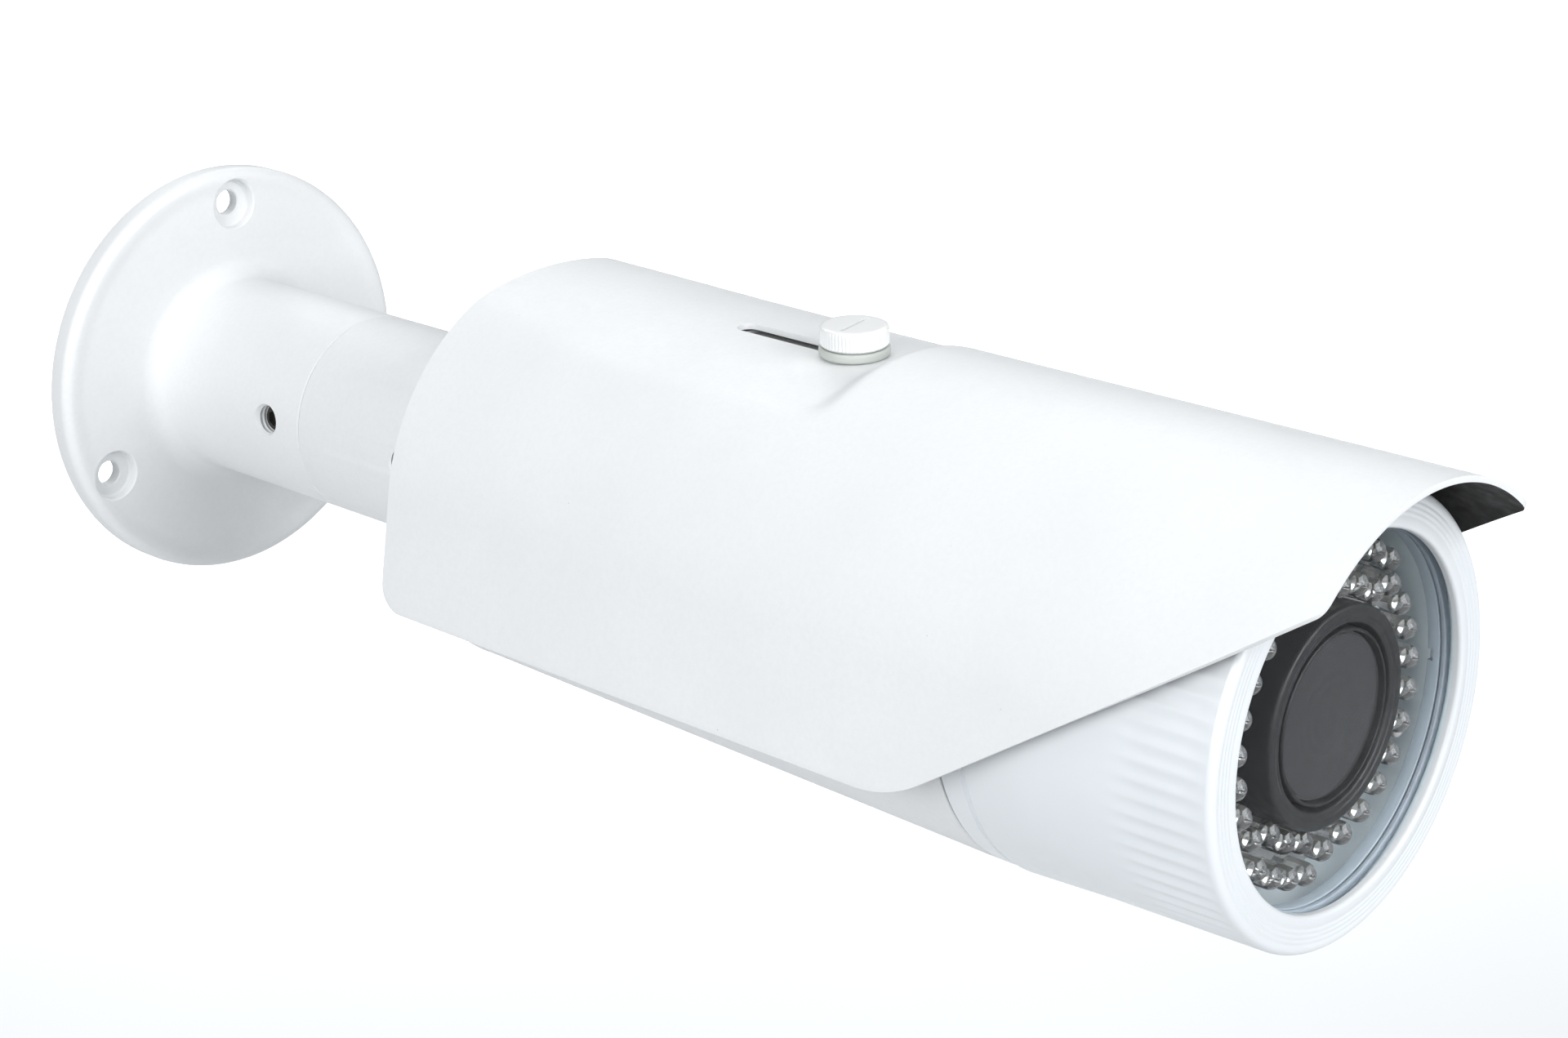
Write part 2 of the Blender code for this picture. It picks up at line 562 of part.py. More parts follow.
def led_array(material):
    """All the clear diodes on the thin carrier that spaces them off the board."""
    base = LED_BOARD_OUT + GAP
    top = base + LED_CARRIER_THICKNESS
    carrier = washer("led_array", SHROUD_RADIUS + GAP, LED_BOARD_RADIUS - GAP, base, top, material=material)
    shoulder = LED_TIP_OUT - LED_RADIUS
    dome = arc((0, shoulder), LED_RADIUS, 0, 40, 1)
    outline = [(0, base + 0.3 * MM), (LED_RADIUS, base + 0.3 * MM)] + dome + [(0, LED_TIP_OUT)]
    for number, (radius, angle) in enumerate(led_angles()):
        join(carrier, turned(f"add_led_{number + 1}", outline, around(radius, angle, 0), sides=8))
    return carrier


def led_board_pieces(board, metal, sensor):
    rear = LED_BOARD_OUT - BOARD_THICKNESS
    washer("led_board", SHROUD_BORE, LED_BOARD_RADIUS, rear, LED_BOARD_OUT, material=board)
    foot = BULKHEAD_OUT + BULKHEAD_THICKNESS + GAP
    for number, angle in enumerate(STANDOFF_ANGLES):
        frame = around(STANDOFF_CIRCLE, angle, 0)
        rod(f"led_standoff_{number + 1}", STANDOFF_RADIUS, foot, rear - GAP, frame, metal, 6)
    frame = around(LIGHT_SENSOR_CIRCLE, LIGHT_SENSOR_ANGLE, 0)
    base = LED_BOARD_OUT + GAP + LED_CARRIER_THICKNESS + GAP
    rod("light_sensor", 2.0 * MM, base, base + 4.5 * MM, frame, sensor, SCREW_SIDES)


def lens_shroud(material):
    base = LED_BOARD_OUT + GAP
    front = window_rear_out() - GAP
    outline = [
        (SHROUD_BORE, base), (SHROUD_RADIUS, base), (SHROUD_FRONT_RADIUS, front), (SHROUD_MOUTH, front)
    ]
    outline += [(SHROUD_BORE, base + 3 * MM)]
    return turned("lens_shroud", outline, ON_AXIS, material)


def lens_pieces(black, dark, glass, metal):
    mount_foot = BULKHEAD_OUT + BULKHEAD_THICKNESS + GAP
    flange = ZOOM_SEAT[0] - 6 * MM
    washer(
        "lens_mount", LENS_THREAD_RADIUS + GAP, LENS_MOUNT_RADIUS, mount_foot, flange - GAP, material=metal
    )
    seat = LENS_RING_SEAT
    outline = [
        (LENS_BORE, flange - 8 * MM), (LENS_THREAD_RADIUS, flange - 8 * MM), (LENS_THREAD_RADIUS, flange)
    ]
    outline += [(LENS_BODY_RADIUS, flange), (LENS_BODY_RADIUS, ZOOM_SEAT[0]), (seat, ZOOM_SEAT[0])]
    outline += [(seat, ZOOM_SEAT[1]), (LENS_BODY_RADIUS, ZOOM_SEAT[1]), (LENS_BODY_RADIUS, FOCUS_SEAT[0])]
    outline += [(seat, FOCUS_SEAT[0]), (seat, FOCUS_SEAT[1]), (LENS_FRONT_RADIUS, FOCUS_SEAT[1])]
    outline += [(LENS_FRONT_RADIUS, LENS_FRONT_OUT), (LENS_FRONT_RADIUS - LENS_RIM, LENS_FRONT_OUT)]
    outline += [
        (LENS_FRONT_RADIUS - LENS_RIM, LENS_FRONT_OUT - LENS_POCKET),
        (LENS_BORE, LENS_FRONT_OUT - LENS_POCKET),
    ]
    turned("lens_barrel", outline, ON_AXIS, dark, 32)
    element = LENS_FRONT_RADIUS - LENS_RIM - GAP
    back = LENS_FRONT_OUT - LENS_POCKET + GAP
    front = LENS_FRONT_OUT - GAP
    dome = [
        (element, front - 0.7 * MM), (element * 0.7, front - 0.3 * MM), (element * 0.35, front - 0.1 * MM)
    ]
    turned("front_lens", [(0, back), (element, back)] + dome + [(0, front)], ON_AXIS, glass, 32)
    group = LENS_BORE - GAP
    middle = (ZOOM_SEAT[0] + ZOOM_SEAT[1]) / 2
    rod("zoom_group", group, middle - 4 * MM, middle + 4 * MM, material=glass)
    for name, seats, angle in (("zoom", ZOOM_SEAT, 150), ("focus", FOCUS_SEAT, 210)):
        low = seats[0] + GAP
        high = seats[1] - GAP
        ring = washer(f"{name}_ring", seat + GAP, LENS_RING_RADIUS, low, high, material=black, sides=32)
        frame = radial(angle, (low + high) / 2)
        hole = rod(
            f"cut_{name}_lock",
            1.2 * MM + GAP,
            seat - 2 * MM,
            LENS_RING_RADIUS + 2 * MM,
            frame,
            sides=SCREW_SIDES,
        )
        cut(ring, hole)
        outline = [(0, seat + 2 * GAP), (1.2 * MM, seat + 2 * GAP), (1.2 * MM, LENS_RING_RADIUS + 1 * MM)]
        outline += [(2.6 * MM, LENS_RING_RADIUS + 1 * MM), (2.6 * MM, LENS_RING_RADIUS + 6 * MM)]
        outline += [(0, LENS_RING_RADIUS + 6 * MM)]
        turned(f"{name}_lock_screw", outline, frame, metal, SCREW_SIDES)


def sensor_pieces(board, black, glass, chip):
    """Image sensor and its board behind the sliding infrared filter."""
    half = SENSOR_BOARD_HALF
    front = SENSOR_BOARD_OUT
    body_rear = front + 2.4 * MM
    body_front = BULKHEAD_OUT - GAP
    block("sensor_board", (-half, -half, front - BOARD_THICKNESS), (half, half, front), board)
    block("image_sensor", (-5 * MM, -4 * MM, front + GAP), (5 * MM, 4 * MM, body_rear - GAP), chip)
    switch = block("filter_switch", (-half, -half * 0.6, body_rear), (half, half * 0.6, body_front), black)
    middle = (body_rear + body_front) / 2
    room = 8.3 * MM
    channel = block(
        "cut_filter_channel",
        (-half + 2 * MM, -room, middle - 1 * MM),
        (half + 5 * MM, room, middle + 1 * MM),
    )
    cut(switch, channel, rod("cut_filter_light", 5.5 * MM, body_rear - 2 * MM, body_front + 2 * MM))
    low = -half + 2 * MM + GAP
    tall = room - GAP
    thin = 1 * MM - GAP
    length = 2 * half - 4 * MM - FILTER_TRAVEL
    block("ir_cut_filter", (low, -tall, middle - thin), (low + length, tall, middle + thin), glass)


def chassis_pieces(metal, board, chip, screw):
    bulkhead_front = BULKHEAD_OUT + BULKHEAD_THICKNESS
    chassis = washer(
        "chassis",
        LENS_THREAD_RADIUS + 0.6 * MM,
        BULKHEAD_RADIUS,
        BULKHEAD_OUT,
        bulkhead_front,
        material=metal,
    )
    wide = TRAY_HALF_WIDTH
    tray_low = (-wide, TRAY_TOP - TRAY_THICKNESS, TRAY_REAR_OUT)
    join(chassis, block("add_tray", tray_low, (wide, TRAY_TOP, BULKHEAD_OUT + 1 * MM)))
    rear, front = MAIN_BOARD_OUT
    inset = 5 * MM
    for number, (x, out) in enumerate((x, out) for x in (-1, 1) for out in (rear + inset, front - inset)):
        frame = facing((x * (MAIN_BOARD_HALF_WIDTH - inset), -out, 0), (0, 0, 1))
        post_foot = TRAY_TOP - TRAY_THICKNESS / 2
        join(
            chassis,
            rod(f"add_post_{number + 1}", 2.2 * MM, post_foot, TRAY_TOP + POST_HEIGHT, frame, sides=8),
        )
    board_low = TRAY_TOP + POST_HEIGHT + GAP
    board_top = board_low + BOARD_THICKNESS
    edge = MAIN_BOARD_HALF_WIDTH
    block("main_board", (-edge, board_low, rear), (edge, board_top, front), board)
    block(
        "heat_spreader",
        (-12 * MM, board_top + GAP, rear + 30 * MM),
        (12 * MM, board_top + 7 * MM, rear + 56 * MM),
        chip,
    )
    power = TRAY_REAR_OUT + 3 * MM
    block(
        "power_board", (-22 * MM, TRAY_TOP + GAP, power), (22 * MM, 15 * MM, power + BOARD_THICKNESS), board
    )
    for number, side in enumerate((-1, 1)):
        frame = around(CHASSIS_SCREW_CIRCLE, 90 * side, 0)
        hole_name = f"cut_chassis_screw_{number + 1}"
        low, high = BULKHEAD_OUT - 2 * MM, bulkhead_front + 2 * MM
        cut(chassis, rod(hole_name, 1.4 * MM, low, high, frame, sides=SCREW_SIDES))
        outline = [
            (0, bulkhead_front - 6.5 * MM),
            (1.1 * MM, bulkhead_front - 6.5 * MM),
            (1.1 * MM, bulkhead_front + GAP),
        ]
        outline += [
            (2.0 * MM, bulkhead_front + GAP),
            (2.0 * MM, bulkhead_front + 1.8 * MM),
            (0, bulkhead_front + 1.8 * MM),
        ]
        turned(f"chassis_screw_{number + 1}", outline, frame, screw, SCREW_SIDES)


def crown_radius(angle, top):
    """Distance from the axis to the pressed crown, whose own arc is flatter than the shield's."""
    centre = top - CROWN_ARC_RADIUS
    across = centre * math.sin(angle)
    along = centre * math.cos(angle)
    return along + math.sqrt(CROWN_ARC_RADIUS**2 - across**2)


def shield_section(out, inset):
    """Points of one cross-section of the sheet, from one lower edge over the top to the other."""
    if out <= CROWN_LEVEL_OUT:
        share = (out - SHIELD_REAR_OUT) / (CROWN_LEVEL_OUT - SHIELD_REAR_OUT)
        top = CROWN_REAR_HEIGHT + (CROWN_HEIGHT - CROWN_REAR_HEIGHT) * share
    else:
        top = CROWN_HEIGHT
    low = SHIELD_LOWER_EDGE - 5 * MM
    points = []
    steps = 36
    for step in range(steps + 1):
        angle = SHIELD_WALL_ANGLE * (2 * step / steps - 1)
        radius = SHIELD_RADIUS
        if out <= CROWN_FRONT_OUT:
            radius = min(radius, crown_radius(angle, top))
        radius -= inset
        points.append((radius * math.sin(angle), radius * math.cos(angle)))
    for end, sign in ((0, -1), (-1, 1)):
        x, z = points[end]
        foot = (x + sign * (z - low) / math.tan(SHIELD_WALL_ANGLE), low)
        points = [foot] + points if end == 0 else points + [foot]
    return points


def shield_side_profile():
    """Outline of the shield seen from the side, as (out, up) points."""
    high = SHIELD_RADIUS + 10 * MM
    slope = math.atan(SHIELD_CUT_SLOPE)
    tip_out = SHIELD_TIP_OUT
    corner_out = tip_out - (SHIELD_TIP_HEIGHT - SHIELD_LOWER_EDGE) / SHIELD_CUT_SLOPE
    tangent = SHIELD_FRONT_ROUND * math.tan(slope / 2)
    centre = (corner_out - tangent, SHIELD_LOWER_EDGE + SHIELD_FRONT_ROUND)
    outline = [(SHIELD_REAR_OUT, high), (tip_out, high)]
    tip_tangent = SHIELD_TIP_ROUND * math.tan((math.pi / 2 - slope) / 2)
    tip_centre = (tip_out - SHIELD_TIP_ROUND, SHIELD_TIP_HEIGHT + tip_tangent)
    outline += arc(tip_centre, SHIELD_TIP_ROUND, 0, math.degrees(slope) - 90, 4)
    outline += arc(centre, SHIELD_FRONT_ROUND, math.degrees(slope) - 90, -90, 8)
    rear_centre = (SHIELD_REAR_OUT + SHIELD_REAR_ROUND, SHIELD_LOWER_EDGE + SHIELD_REAR_ROUND)
    outline += arc(rear_centre, SHIELD_REAR_ROUND, 270, 180, 6)
    return outline


def sunshield(material):
    beyond = 2 * MM
    stations = [SHIELD_REAR_OUT - beyond, CROWN_LEVEL_OUT, CROWN_FRONT_OUT, CROWN_FRONT_OUT + CROWN_RAMP]
    stations.append(SHIELD_TIP_OUT + beyond)
    shape = bmesh.new()
    skins = []
    for inset in (0, SHIELD_SHEET):
        skins.append(
            [[shape.verts.new((x, up, out)) for x, up in shield_section(out, inset)] for out in stations]
        )
    for rows in skins:
        for near, far in zip(rows, rows[1:]):
            for corner in range(len(near) - 1):
                shape.faces.new((near[corner], near[corner + 1], far[corner + 1], far[corner]))
    outer, inner = skins
    for row in (0, -1):
        for corner in range(len(outer[row]) - 1):
            ends = (outer[row][corner], outer[row][corner + 1], inner[row][corner + 1], inner[row][corner])
            shape.faces.new(ends)
    for side in (0, -1):
        for row in range(len(stations) - 1):
            ends = (outer[row][side], outer[row + 1][side], inner[row + 1][side], inner[row][side])
            shape.faces.new(ends)
    shield = add_object("sunshield", shape, ON_AXIS, material)
    keep_inside(shield, side_prism("keep_shield_profile", shield_side_profile(), 1.4 * SHIELD_RADIUS))
    cut(shield, shield_slot())
    return shield


def shield_slot():
    """A straight slot with round ends, so that the shield slides its travel past the fixed screw."""
    half = SLOT_WIDTH / 2
    front = THUMBSCREW_OUT + 2 * GAP
    rear = THUMBSCREW_OUT - SHIELD_TRAVEL - 2 * GAP
    shape = bmesh.new()
    outline = arc((0, front), half, 0, 180, 8) + arc((0, rear), half, 180, 360, 8)
    corners = [shape.verts.new((x, LAND_HEIGHT, out)) for x, out in outline]
    face = shape.faces.new(corners)
    pushed = bmesh.ops.extrude_face_region(shape, geom=[face])["geom"]
    moved = [item for item in pushed if isinstance(item, bmesh.types.BMVert)]
    bmesh.ops.translate(shape, vec=(0, 10 * MM, 0), verts=moved)
    return add_object("cut_shield_slot", shape, ON_AXIS, None)


def shield_fasteners(knob, grey, rubber):
    upright = facing((0, -THUMBSCREW_OUT, 0), (0, 0, 1))
    hole = SLOT_WIDTH / 2
    pad_top = CROWN_HEIGHT - SHIELD_SHEET - GAP
    washer(
        "shield_pad",
        hole,
        THUMBSCREW_RADIUS - 1.4 * MM,
        LAND_HEIGHT + GAP,
        pad_top,
        upright,
        rubber,
        SMALL_SIDES,
    )
    low = CROWN_HEIGHT + GAP
    high = low + WASHER_THICKNESS
    washer("shield_washer", hole, WASHER_RADIUS, low, high, upright, grey, 32)
    base = high + 0.2 * MM
    top = base + THUMBSCREW_HEIGHT
    bevel = 0.6 * MM
    rim = THUMBSCREW_RADIUS
    outline = [(0, THUMBSCREW_END), (THUMBSCREW_SHANK, THUMBSCREW_END), (THUMBSCREW_SHANK, base)]
    outline += [(rim - bevel, base), (rim, base + bevel), (rim, top - bevel), (rim - bevel, top), (0, top)]
    screw = turned("thumbscrew", outline, upright, knob, 32)
    slot_low = (-rim, top - 1.2 * MM, THUMBSCREW_OUT - 0.7 * MM)
    cut(screw, block("cut_driver_slot", slot_low, (rim, top + 1 * MM, THUMBSCREW_OUT + 0.7 * MM)))


def seals_and_nut(rubber, metal):
    o_ring("knuckle_seal", knuckle_seal_radius(), CAP_OUT + 0.9 * MM, rubber)
    ring_end = CAP_OUT + CAP_THICKNESS + CAP_RING_LENGTH
    o_ring("rear_o_ring", CAP_RING_RADIUS - 0.7 * MM, ring_end - 4.0 * MM, rubber)
    o_ring("front_o_ring", COVER_THREAD_RADIUS + 1.15 * MM, HOUSING_FRONT_OUT + 1.75 * MM, rubber)
    nut_low = CAP_OUT + CAP_THICKNESS + GAP
    washer("knuckle_nut", KNUCKLE_SPIGOT + GAP, 16 * MM, nut_low, nut_low + 5 * MM, material=metal, sides=24)
    spigot_end = CAP_OUT - GAP + KNUCKLE_SPIGOT_LENGTH
    washer(
        "cable_grommet",
        3.2 * MM,
        KNUCKLE_BORE - GAP,
        spigot_end - 8 * MM,
        spigot_end,
        material=rubber,
        sides=SMALL_SIDES,
    )


def hang_on(empty_name, location, parent, names):
    """Parents pieces to an empty on the axis that they move on."""
    empty = bpy.data.objects.new(empty_name, None)
    empty.location = location
    bpy.context.scene.collection.objects.link(empty)
    if parent is not None:
        bpy.context.view_layer.update()
        empty.parent = parent
        empty.matrix_parent_inverse = parent.matrix_world.inverted()
    bpy.context.view_layer.update()
    for name in names:
        piece = bpy.data.objects[name]
        placed = piece.matrix_world.copy()
        piece.parent = empty
        piece.matrix_parent_inverse = empty.matrix_world.inverted()
        piece.matrix_world = placed
    return empty


def parent_moving_pieces():
    swivel = hang_on(
        "swivel_axis", (0, -SOCKET_OUT, 0), None, ["swivel_arm", "tilt_screw_left", "tilt_screw_right"]
    )
    tilt = hang_on(
        "tilt_axis",
        (0, -TILT_OUT, 0),
        swivel,
        ["tilt_knuckle", "knuckle_nut", "knuckle_seal", "cable_grommet"],
    )
    fixed = {"wall_flange", "base_grub_screw", "swivel_arm", "tilt_screw_left", "tilt_screw_right"}
    fixed |= {"tilt_knuckle", "knuckle_nut", "knuckle_seal", "cable_grommet"}
    moving = {
        "shield_axis": ["sunshield"],
        "thumbscrew_axis": ["shield_washer", "thumbscrew"],
        "cover_axis": ["front_cover", "window_glass", "window_gasket", "window_ring"],
        "zoom_axis": ["zoom_ring", "zoom_lock_screw", "zoom_group"],
        "focus_axis": ["focus_ring", "focus_lock_screw"],
        "filter_axis": ["ir_cut_filter"],
    }
    held = {name for names in moving.values() for name in names}
    pieces = [piece for piece in bpy.data.objects if piece.type == "MESH" and not piece.hide_render]
    rest = [piece.name for piece in pieces if piece.name not in fixed | held]
    roll = hang_on("roll_axis", (0, -CAP_OUT, 0), tilt, rest)
    places = {
        "shield_axis": (0, -THUMBSCREW_OUT, CROWN_HEIGHT),
        "thumbscrew_axis": (0, -THUMBSCREW_OUT, CROWN_HEIGHT),
        "cover_axis": (0, -HOUSING_FRONT_OUT, 0),
        "zoom_axis": (0, -ZOOM_SEAT[0], 0),
        "focus_axis": (0, -FOCUS_SEAT[0], 0),
        "filter_axis": (0, -SENSOR_BOARD_OUT, 0),
    }
    for name, pieces in moving.items():
        hang_on(name, places[name], roll, pieces)


def build():
    clear_scene()
    coat = finish("white powder coat", (0.86, 0.87, 0.88), 0.5)
    cover_paint = finish("white satin paint", (0.85, 0.88, 0.91), 0.3)
    dark_steel = finish("dark steel", (0.12, 0.13, 0.14), 0.4, 1.0)
    steel = finish("bright steel", (0.72, 0.73, 0.74), 0.3, 1.0)
    grey_plastic = finish("grey plastic", (0.45, 0.46, 0.48), 0.5)
    black_plastic = finish("black plastic", (0.02, 0.02, 0.022), 0.45)
    dark_alloy = finish("dark anodised alloy", (0.06, 0.06, 0.065), 0.4, 0.8)
    alloy = finish("plain alloy", (0.7, 0.71, 0.72), 0.4, 1.0)
    rubber = finish("black rubber", (0.015, 0.015, 0.015), 0.8)
    glass = finish("clear glass", (0.9, 0.95, 0.95), 0.05)
    clear_resin = finish("clear resin", (0.8, 0.82, 0.85), 0.1)
    green_board = finish("green circuit board", (0.02, 0.16, 0.06), 0.4)
    chip = finish("chip", (0.05, 0.05, 0.06), 0.5)
    wall_flange(coat)
    base_grub_screw(dark_steel)
    swivel_arm(coat)
    tilt_screw("tilt_screw_left", 1, dark_steel)
    tilt_screw("tilt_screw_right", -1, dark_steel)
    tilt_knuckle(coat)
    rear_cap(coat)
    for number in range(CAP_SCREW_COUNT):
        rear_cap_screw(number, steel)
    housing(coat)
    front_cover(cover_paint)
    window_pieces(glass, rubber, dark_alloy)
    led_array(clear_resin)
    led_board_pieces(green_board, steel, grey_plastic)
    lens_shroud(black_plastic)
    lens_pieces(black_plastic, dark_alloy, glass, steel)
    sensor_pieces(green_board, black_plastic, glass, chip)
    chassis_pieces(alloy, green_board, chip, steel)
    sunshield(coat)
    shield_fasteners(cover_paint, grey_plastic, rubber)
    seals_and_nut(rubber, alloy)
    parent_moving_pieces()


build()
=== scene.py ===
import math

import bmesh
import bpy
from mathutils import Matrix, Vector


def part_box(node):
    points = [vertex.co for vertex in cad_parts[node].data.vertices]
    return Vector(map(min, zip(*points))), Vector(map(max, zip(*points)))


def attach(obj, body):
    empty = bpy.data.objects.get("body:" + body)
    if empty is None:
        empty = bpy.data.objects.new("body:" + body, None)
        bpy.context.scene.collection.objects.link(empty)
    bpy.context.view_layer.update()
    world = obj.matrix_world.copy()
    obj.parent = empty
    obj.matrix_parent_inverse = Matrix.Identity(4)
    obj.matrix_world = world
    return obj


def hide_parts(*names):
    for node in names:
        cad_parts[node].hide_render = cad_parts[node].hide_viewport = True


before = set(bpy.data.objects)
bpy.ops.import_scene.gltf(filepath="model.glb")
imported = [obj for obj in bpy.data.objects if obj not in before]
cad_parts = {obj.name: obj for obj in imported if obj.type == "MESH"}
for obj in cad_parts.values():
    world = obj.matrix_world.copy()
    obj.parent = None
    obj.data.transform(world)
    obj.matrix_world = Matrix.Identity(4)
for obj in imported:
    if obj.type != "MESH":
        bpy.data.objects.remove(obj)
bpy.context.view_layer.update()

MM = 0.001
FULL_TURN = 2 * math.pi

# Steps round a turned piece
FINE = 256
MEDIUM = 128
COARSE = 64

# Sizes shared by several pieces, as on the CAD model, in millimetres
CLOCKING = math.radians(5.5)
NECK_RADIUS = 24.87
TILT_OUT = 100.5
CHEEK_RADIUS = 10.7
TILT_LIMIT = math.radians(30)
GAP = 0.3
GRUB_HOLE = 3.75
GRUB_PITCH = 1.25
GRUB_OUT = 50
SLOT_WIDTH = 5.4
SHIELD_RADIUS = 51.9
SHIELD_SHEET = 1.3
THUMBSCREW_OUT = 222.9
SHIELD_REAR = 127.9
SHIELD_TIP = 364.0
SHIELD_TRAVEL = 30.0
SHIELD_WALL_ANGLE = math.radians(80)
REAR_ROUND = 6.5
TIP_ROUND = 3.0
CROWN_HEIGHT = 48.3
LAND_HEIGHT = 45.2
WINDOW_OPENING = 38.3
LED_BOARD_OUT = 334.5

# Limits of the outline helpers
TINY = 1e-6
ON_THE_AXIS = 1e-4
NEARLY_STRAIGHT = math.radians(165)
SHARP = 32  # degrees

UPRIGHT = Matrix.Identity(4)
ON_AXIS = Matrix.Rotation(math.radians(90), 4, "X")
ON_BRACKET = Matrix.Rotation(CLOCKING, 4, "Y") @ ON_AXIS


# ---------------------------------------------------------------- frames and outlines

def box_of(node):
    """Lowest and highest corners of a CAD node at rest."""
    low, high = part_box(node)
    return low / MM, high / MM


def reach(node):
    """(nearest, farthest) distance out from the wall of a CAD node."""
    low, high = box_of(node)
    return -high.y, -low.y


def radius_of(node):
    """Largest distance from the axis of a CAD node that is turned about it."""
    low, high = box_of(node)
    return max(high.x, high.z, -low.x, -low.z)


def moved(place, x, y, z):
    """A frame moved along its own axes."""
    return place @ Matrix.Translation(Vector((x, y, z)) * MM)


def around(radius, angle_from_top, out, base=ON_AXIS):
    """A frame on a circle round the axis, local Z pointing out; angles run from the top to -X, in degrees."""
    angle = math.radians(angle_from_top)
    return moved(base, -radius * math.sin(angle), radius * math.cos(angle), out)


def radial(angle_from_top, out, base=ON_AXIS):
    """A frame on the axis whose local Z points away from it."""
    angle = math.radians(angle_from_top)
    turn = Vector((-math.sin(angle), math.cos(angle), 0)).to_track_quat("Z", "Y").to_matrix().to_4x4()
    return moved(base, 0, 0, out) @ turn


def upright(out):
    """A frame on the axis at a distance from the wall, with local Z pointing up."""
    return moved(UPRIGHT, 0, -out, 0)


def arc(centre, radius, start, end, steps):
    angles = [math.radians(start + (end - start) * step / steps) for step in range(steps + 1)]
    return [(centre[0] + radius * math.cos(a), centre[1] + radius * math.sin(a)) for a in angles]


def soften(outline, amount, closed=True, steps=3):
    """Rounds every corner of an outline by about an amount, less where its sides are short."""
    count = len(outline)
    result = []
    for index, point in enumerate(outline):
        if not closed and index in (0, count - 1):
            result.append(point)
            continue
        here = Vector(point)
        before = Vector(outline[index - 1])
        after = Vector(outline[(index + 1) % count])
        towards = before - here
        away = after - here
        if min(towards.length, away.length) < TINY or towards.angle(away) > NEARLY_STRAIGHT:
            result.append(point)
            continue
        first = here + towards.normalized() * min(amount, 0.45 * towards.length)
        last = here + away.normalized() * min(amount, 0.45 * away.length)
        for step in range(steps + 1):
            share = step / steps
            curve = first * (1 - share) ** 2 + here * (2 * share * (1 - share)) + last * share**2
            result.append((curve.x, curve.y))
    return result


def repeated(points, start, pitch, count):
    """Repeats (radius, share of the pitch) points along an outline, for threads and ribs."""
    return [(radius, start + pitch * (turn + share)) for turn in range(count) for radius, share in points]


def smooth_step(low, high, value):
    share = min(1.0, max(0.0, (value - low) / (high - low)))
    return share * share * (3 - 2 * share)


# ---------------------------------------------------------------- mesh building

def add_piece(name, shape, frame_matrix, sharp=SHARP):
    """Turns a bmesh into an object at its place, shaded smooth with its sharp edges kept."""
    bmesh.ops.recalc_face_normals(shape, faces=shape.faces)
    mesh = bpy.data.meshes.new(name)
    shape.to_mesh(mesh)
    shape.free()
    mesh.transform(frame_matrix)
    mesh.shade_smooth()
    mesh.set_sharp_from_angle(angle=math.radians(sharp))
    piece = bpy.data.objects.new(name, mesh)
    bpy.context.scene.collection.objects.link(piece)
    return piece


def lathe_shape(outline, steps, radius_at=None):
    """A bmesh turned about local Z from (radius, height) points, which radius_at may move at each angle."""
    shape = bmesh.new()
    rings = []
    for radius, height in outline:
        if radius < ON_THE_AXIS:
            rings.append([shape.verts.new((0, 0, height * MM))])
            continue
        ring = []
        for step in range(steps):
            angle = FULL_TURN * step / steps
            reached = MM * (radius_at(radius, height, angle) if radius_at else radius)
            ring.append(shape.verts.new((reached * math.cos(angle), reached * math.sin(angle), height * MM)))
        rings.append(ring)
    pairs = list(zip(rings, rings[1:]))
    if len(rings[0]) > 1 and len(rings[-1]) > 1:
        pairs.append((rings[-1], rings[0]))
    for near, far in pairs:
        for step in range(steps):
            after = (step + 1) % steps
            if len(near) == 1 and len(far) == 1:
                break
            if len(near) == 1:
                shape.faces.new((near[0], far[after], far[step]))
            elif len(far) == 1:
                shape.faces.new((near[step], near[after], far[0]))
            else:
                shape.faces.new((near[step], near[after], far[after], far[step]))
    return shape


def lathe(name, outline, steps=MEDIUM, place=ON_AXIS, round_by=0.25, radius_at=None, sharp=SHARP):
    on_axis = max(outline[0][0], outline[-1][0]) < ON_THE_AXIS
    softened = soften(outline, round_by, closed=not on_axis) if round_by else outline
    return add_piece(name, lathe_shape(softened, steps, radius_at), place, sharp)


def ring(name, inner, outer, low, high, steps=MEDIUM, place=ON_AXIS, round_by=0.2):
    return lathe(name, [(inner, low), (outer, low), (outer, high), (inner, high)], steps, place, round_by)


def rod(name, radius, low, high, steps, place, round_by=0.0):
    """A round bar along its frame's Z."""
    return lathe(name, [(0, low), (radius, low), (radius, high), (0, high)], steps, place, round_by)


def prism(name, outline, low, high, place=ON_AXIS, round_by=0.0):
    """A solid with a flat outline of (x, y) points, from one height to another."""
    shape = bmesh.new()
    corners = [shape.verts.new((x * MM, y * MM, low * MM)) for x, y in outline]
    face = shape.faces.new(corners)
    pushed = bmesh.ops.extrude_face_region(shape, geom=[face])["geom"]
    top = [part for part in pushed if isinstance(part, bmesh.types.BMVert)]
    bmesh.ops.translate(shape, vec=(0, 0, (high - low) * MM), verts=top)
    if round_by:
        rounded = {"offset": round_by * MM, "segments": 2, "affect": "EDGES", "clamp_overlap": True}
        bmesh.ops.bevel(shape, geom=shape.edges[:], **rounded)
    return add_piece(name, shape, place)


def block(name, low, high, place=ON_AXIS, round_by=0.2):
    """A box with rounded edges between two corners in its frame."""
    outline = [(low[0], low[1]), (high[0], low[1]), (high[0], high[1]), (low[0], high[1])]
    return prism(name, outline, low[2], high[2], place, round_by)


def polygon(radius, sides):
    return arc((0, 0), radius, 0, 360 - 360 / sides, sides - 1)


def apply_modifiers(piece):
    mesh = bpy.data.meshes.new_from_object(piece.evaluated_get(bpy.context.evaluated_depsgraph_get()))
    piece.modifiers.clear()
    piece.data = mesh


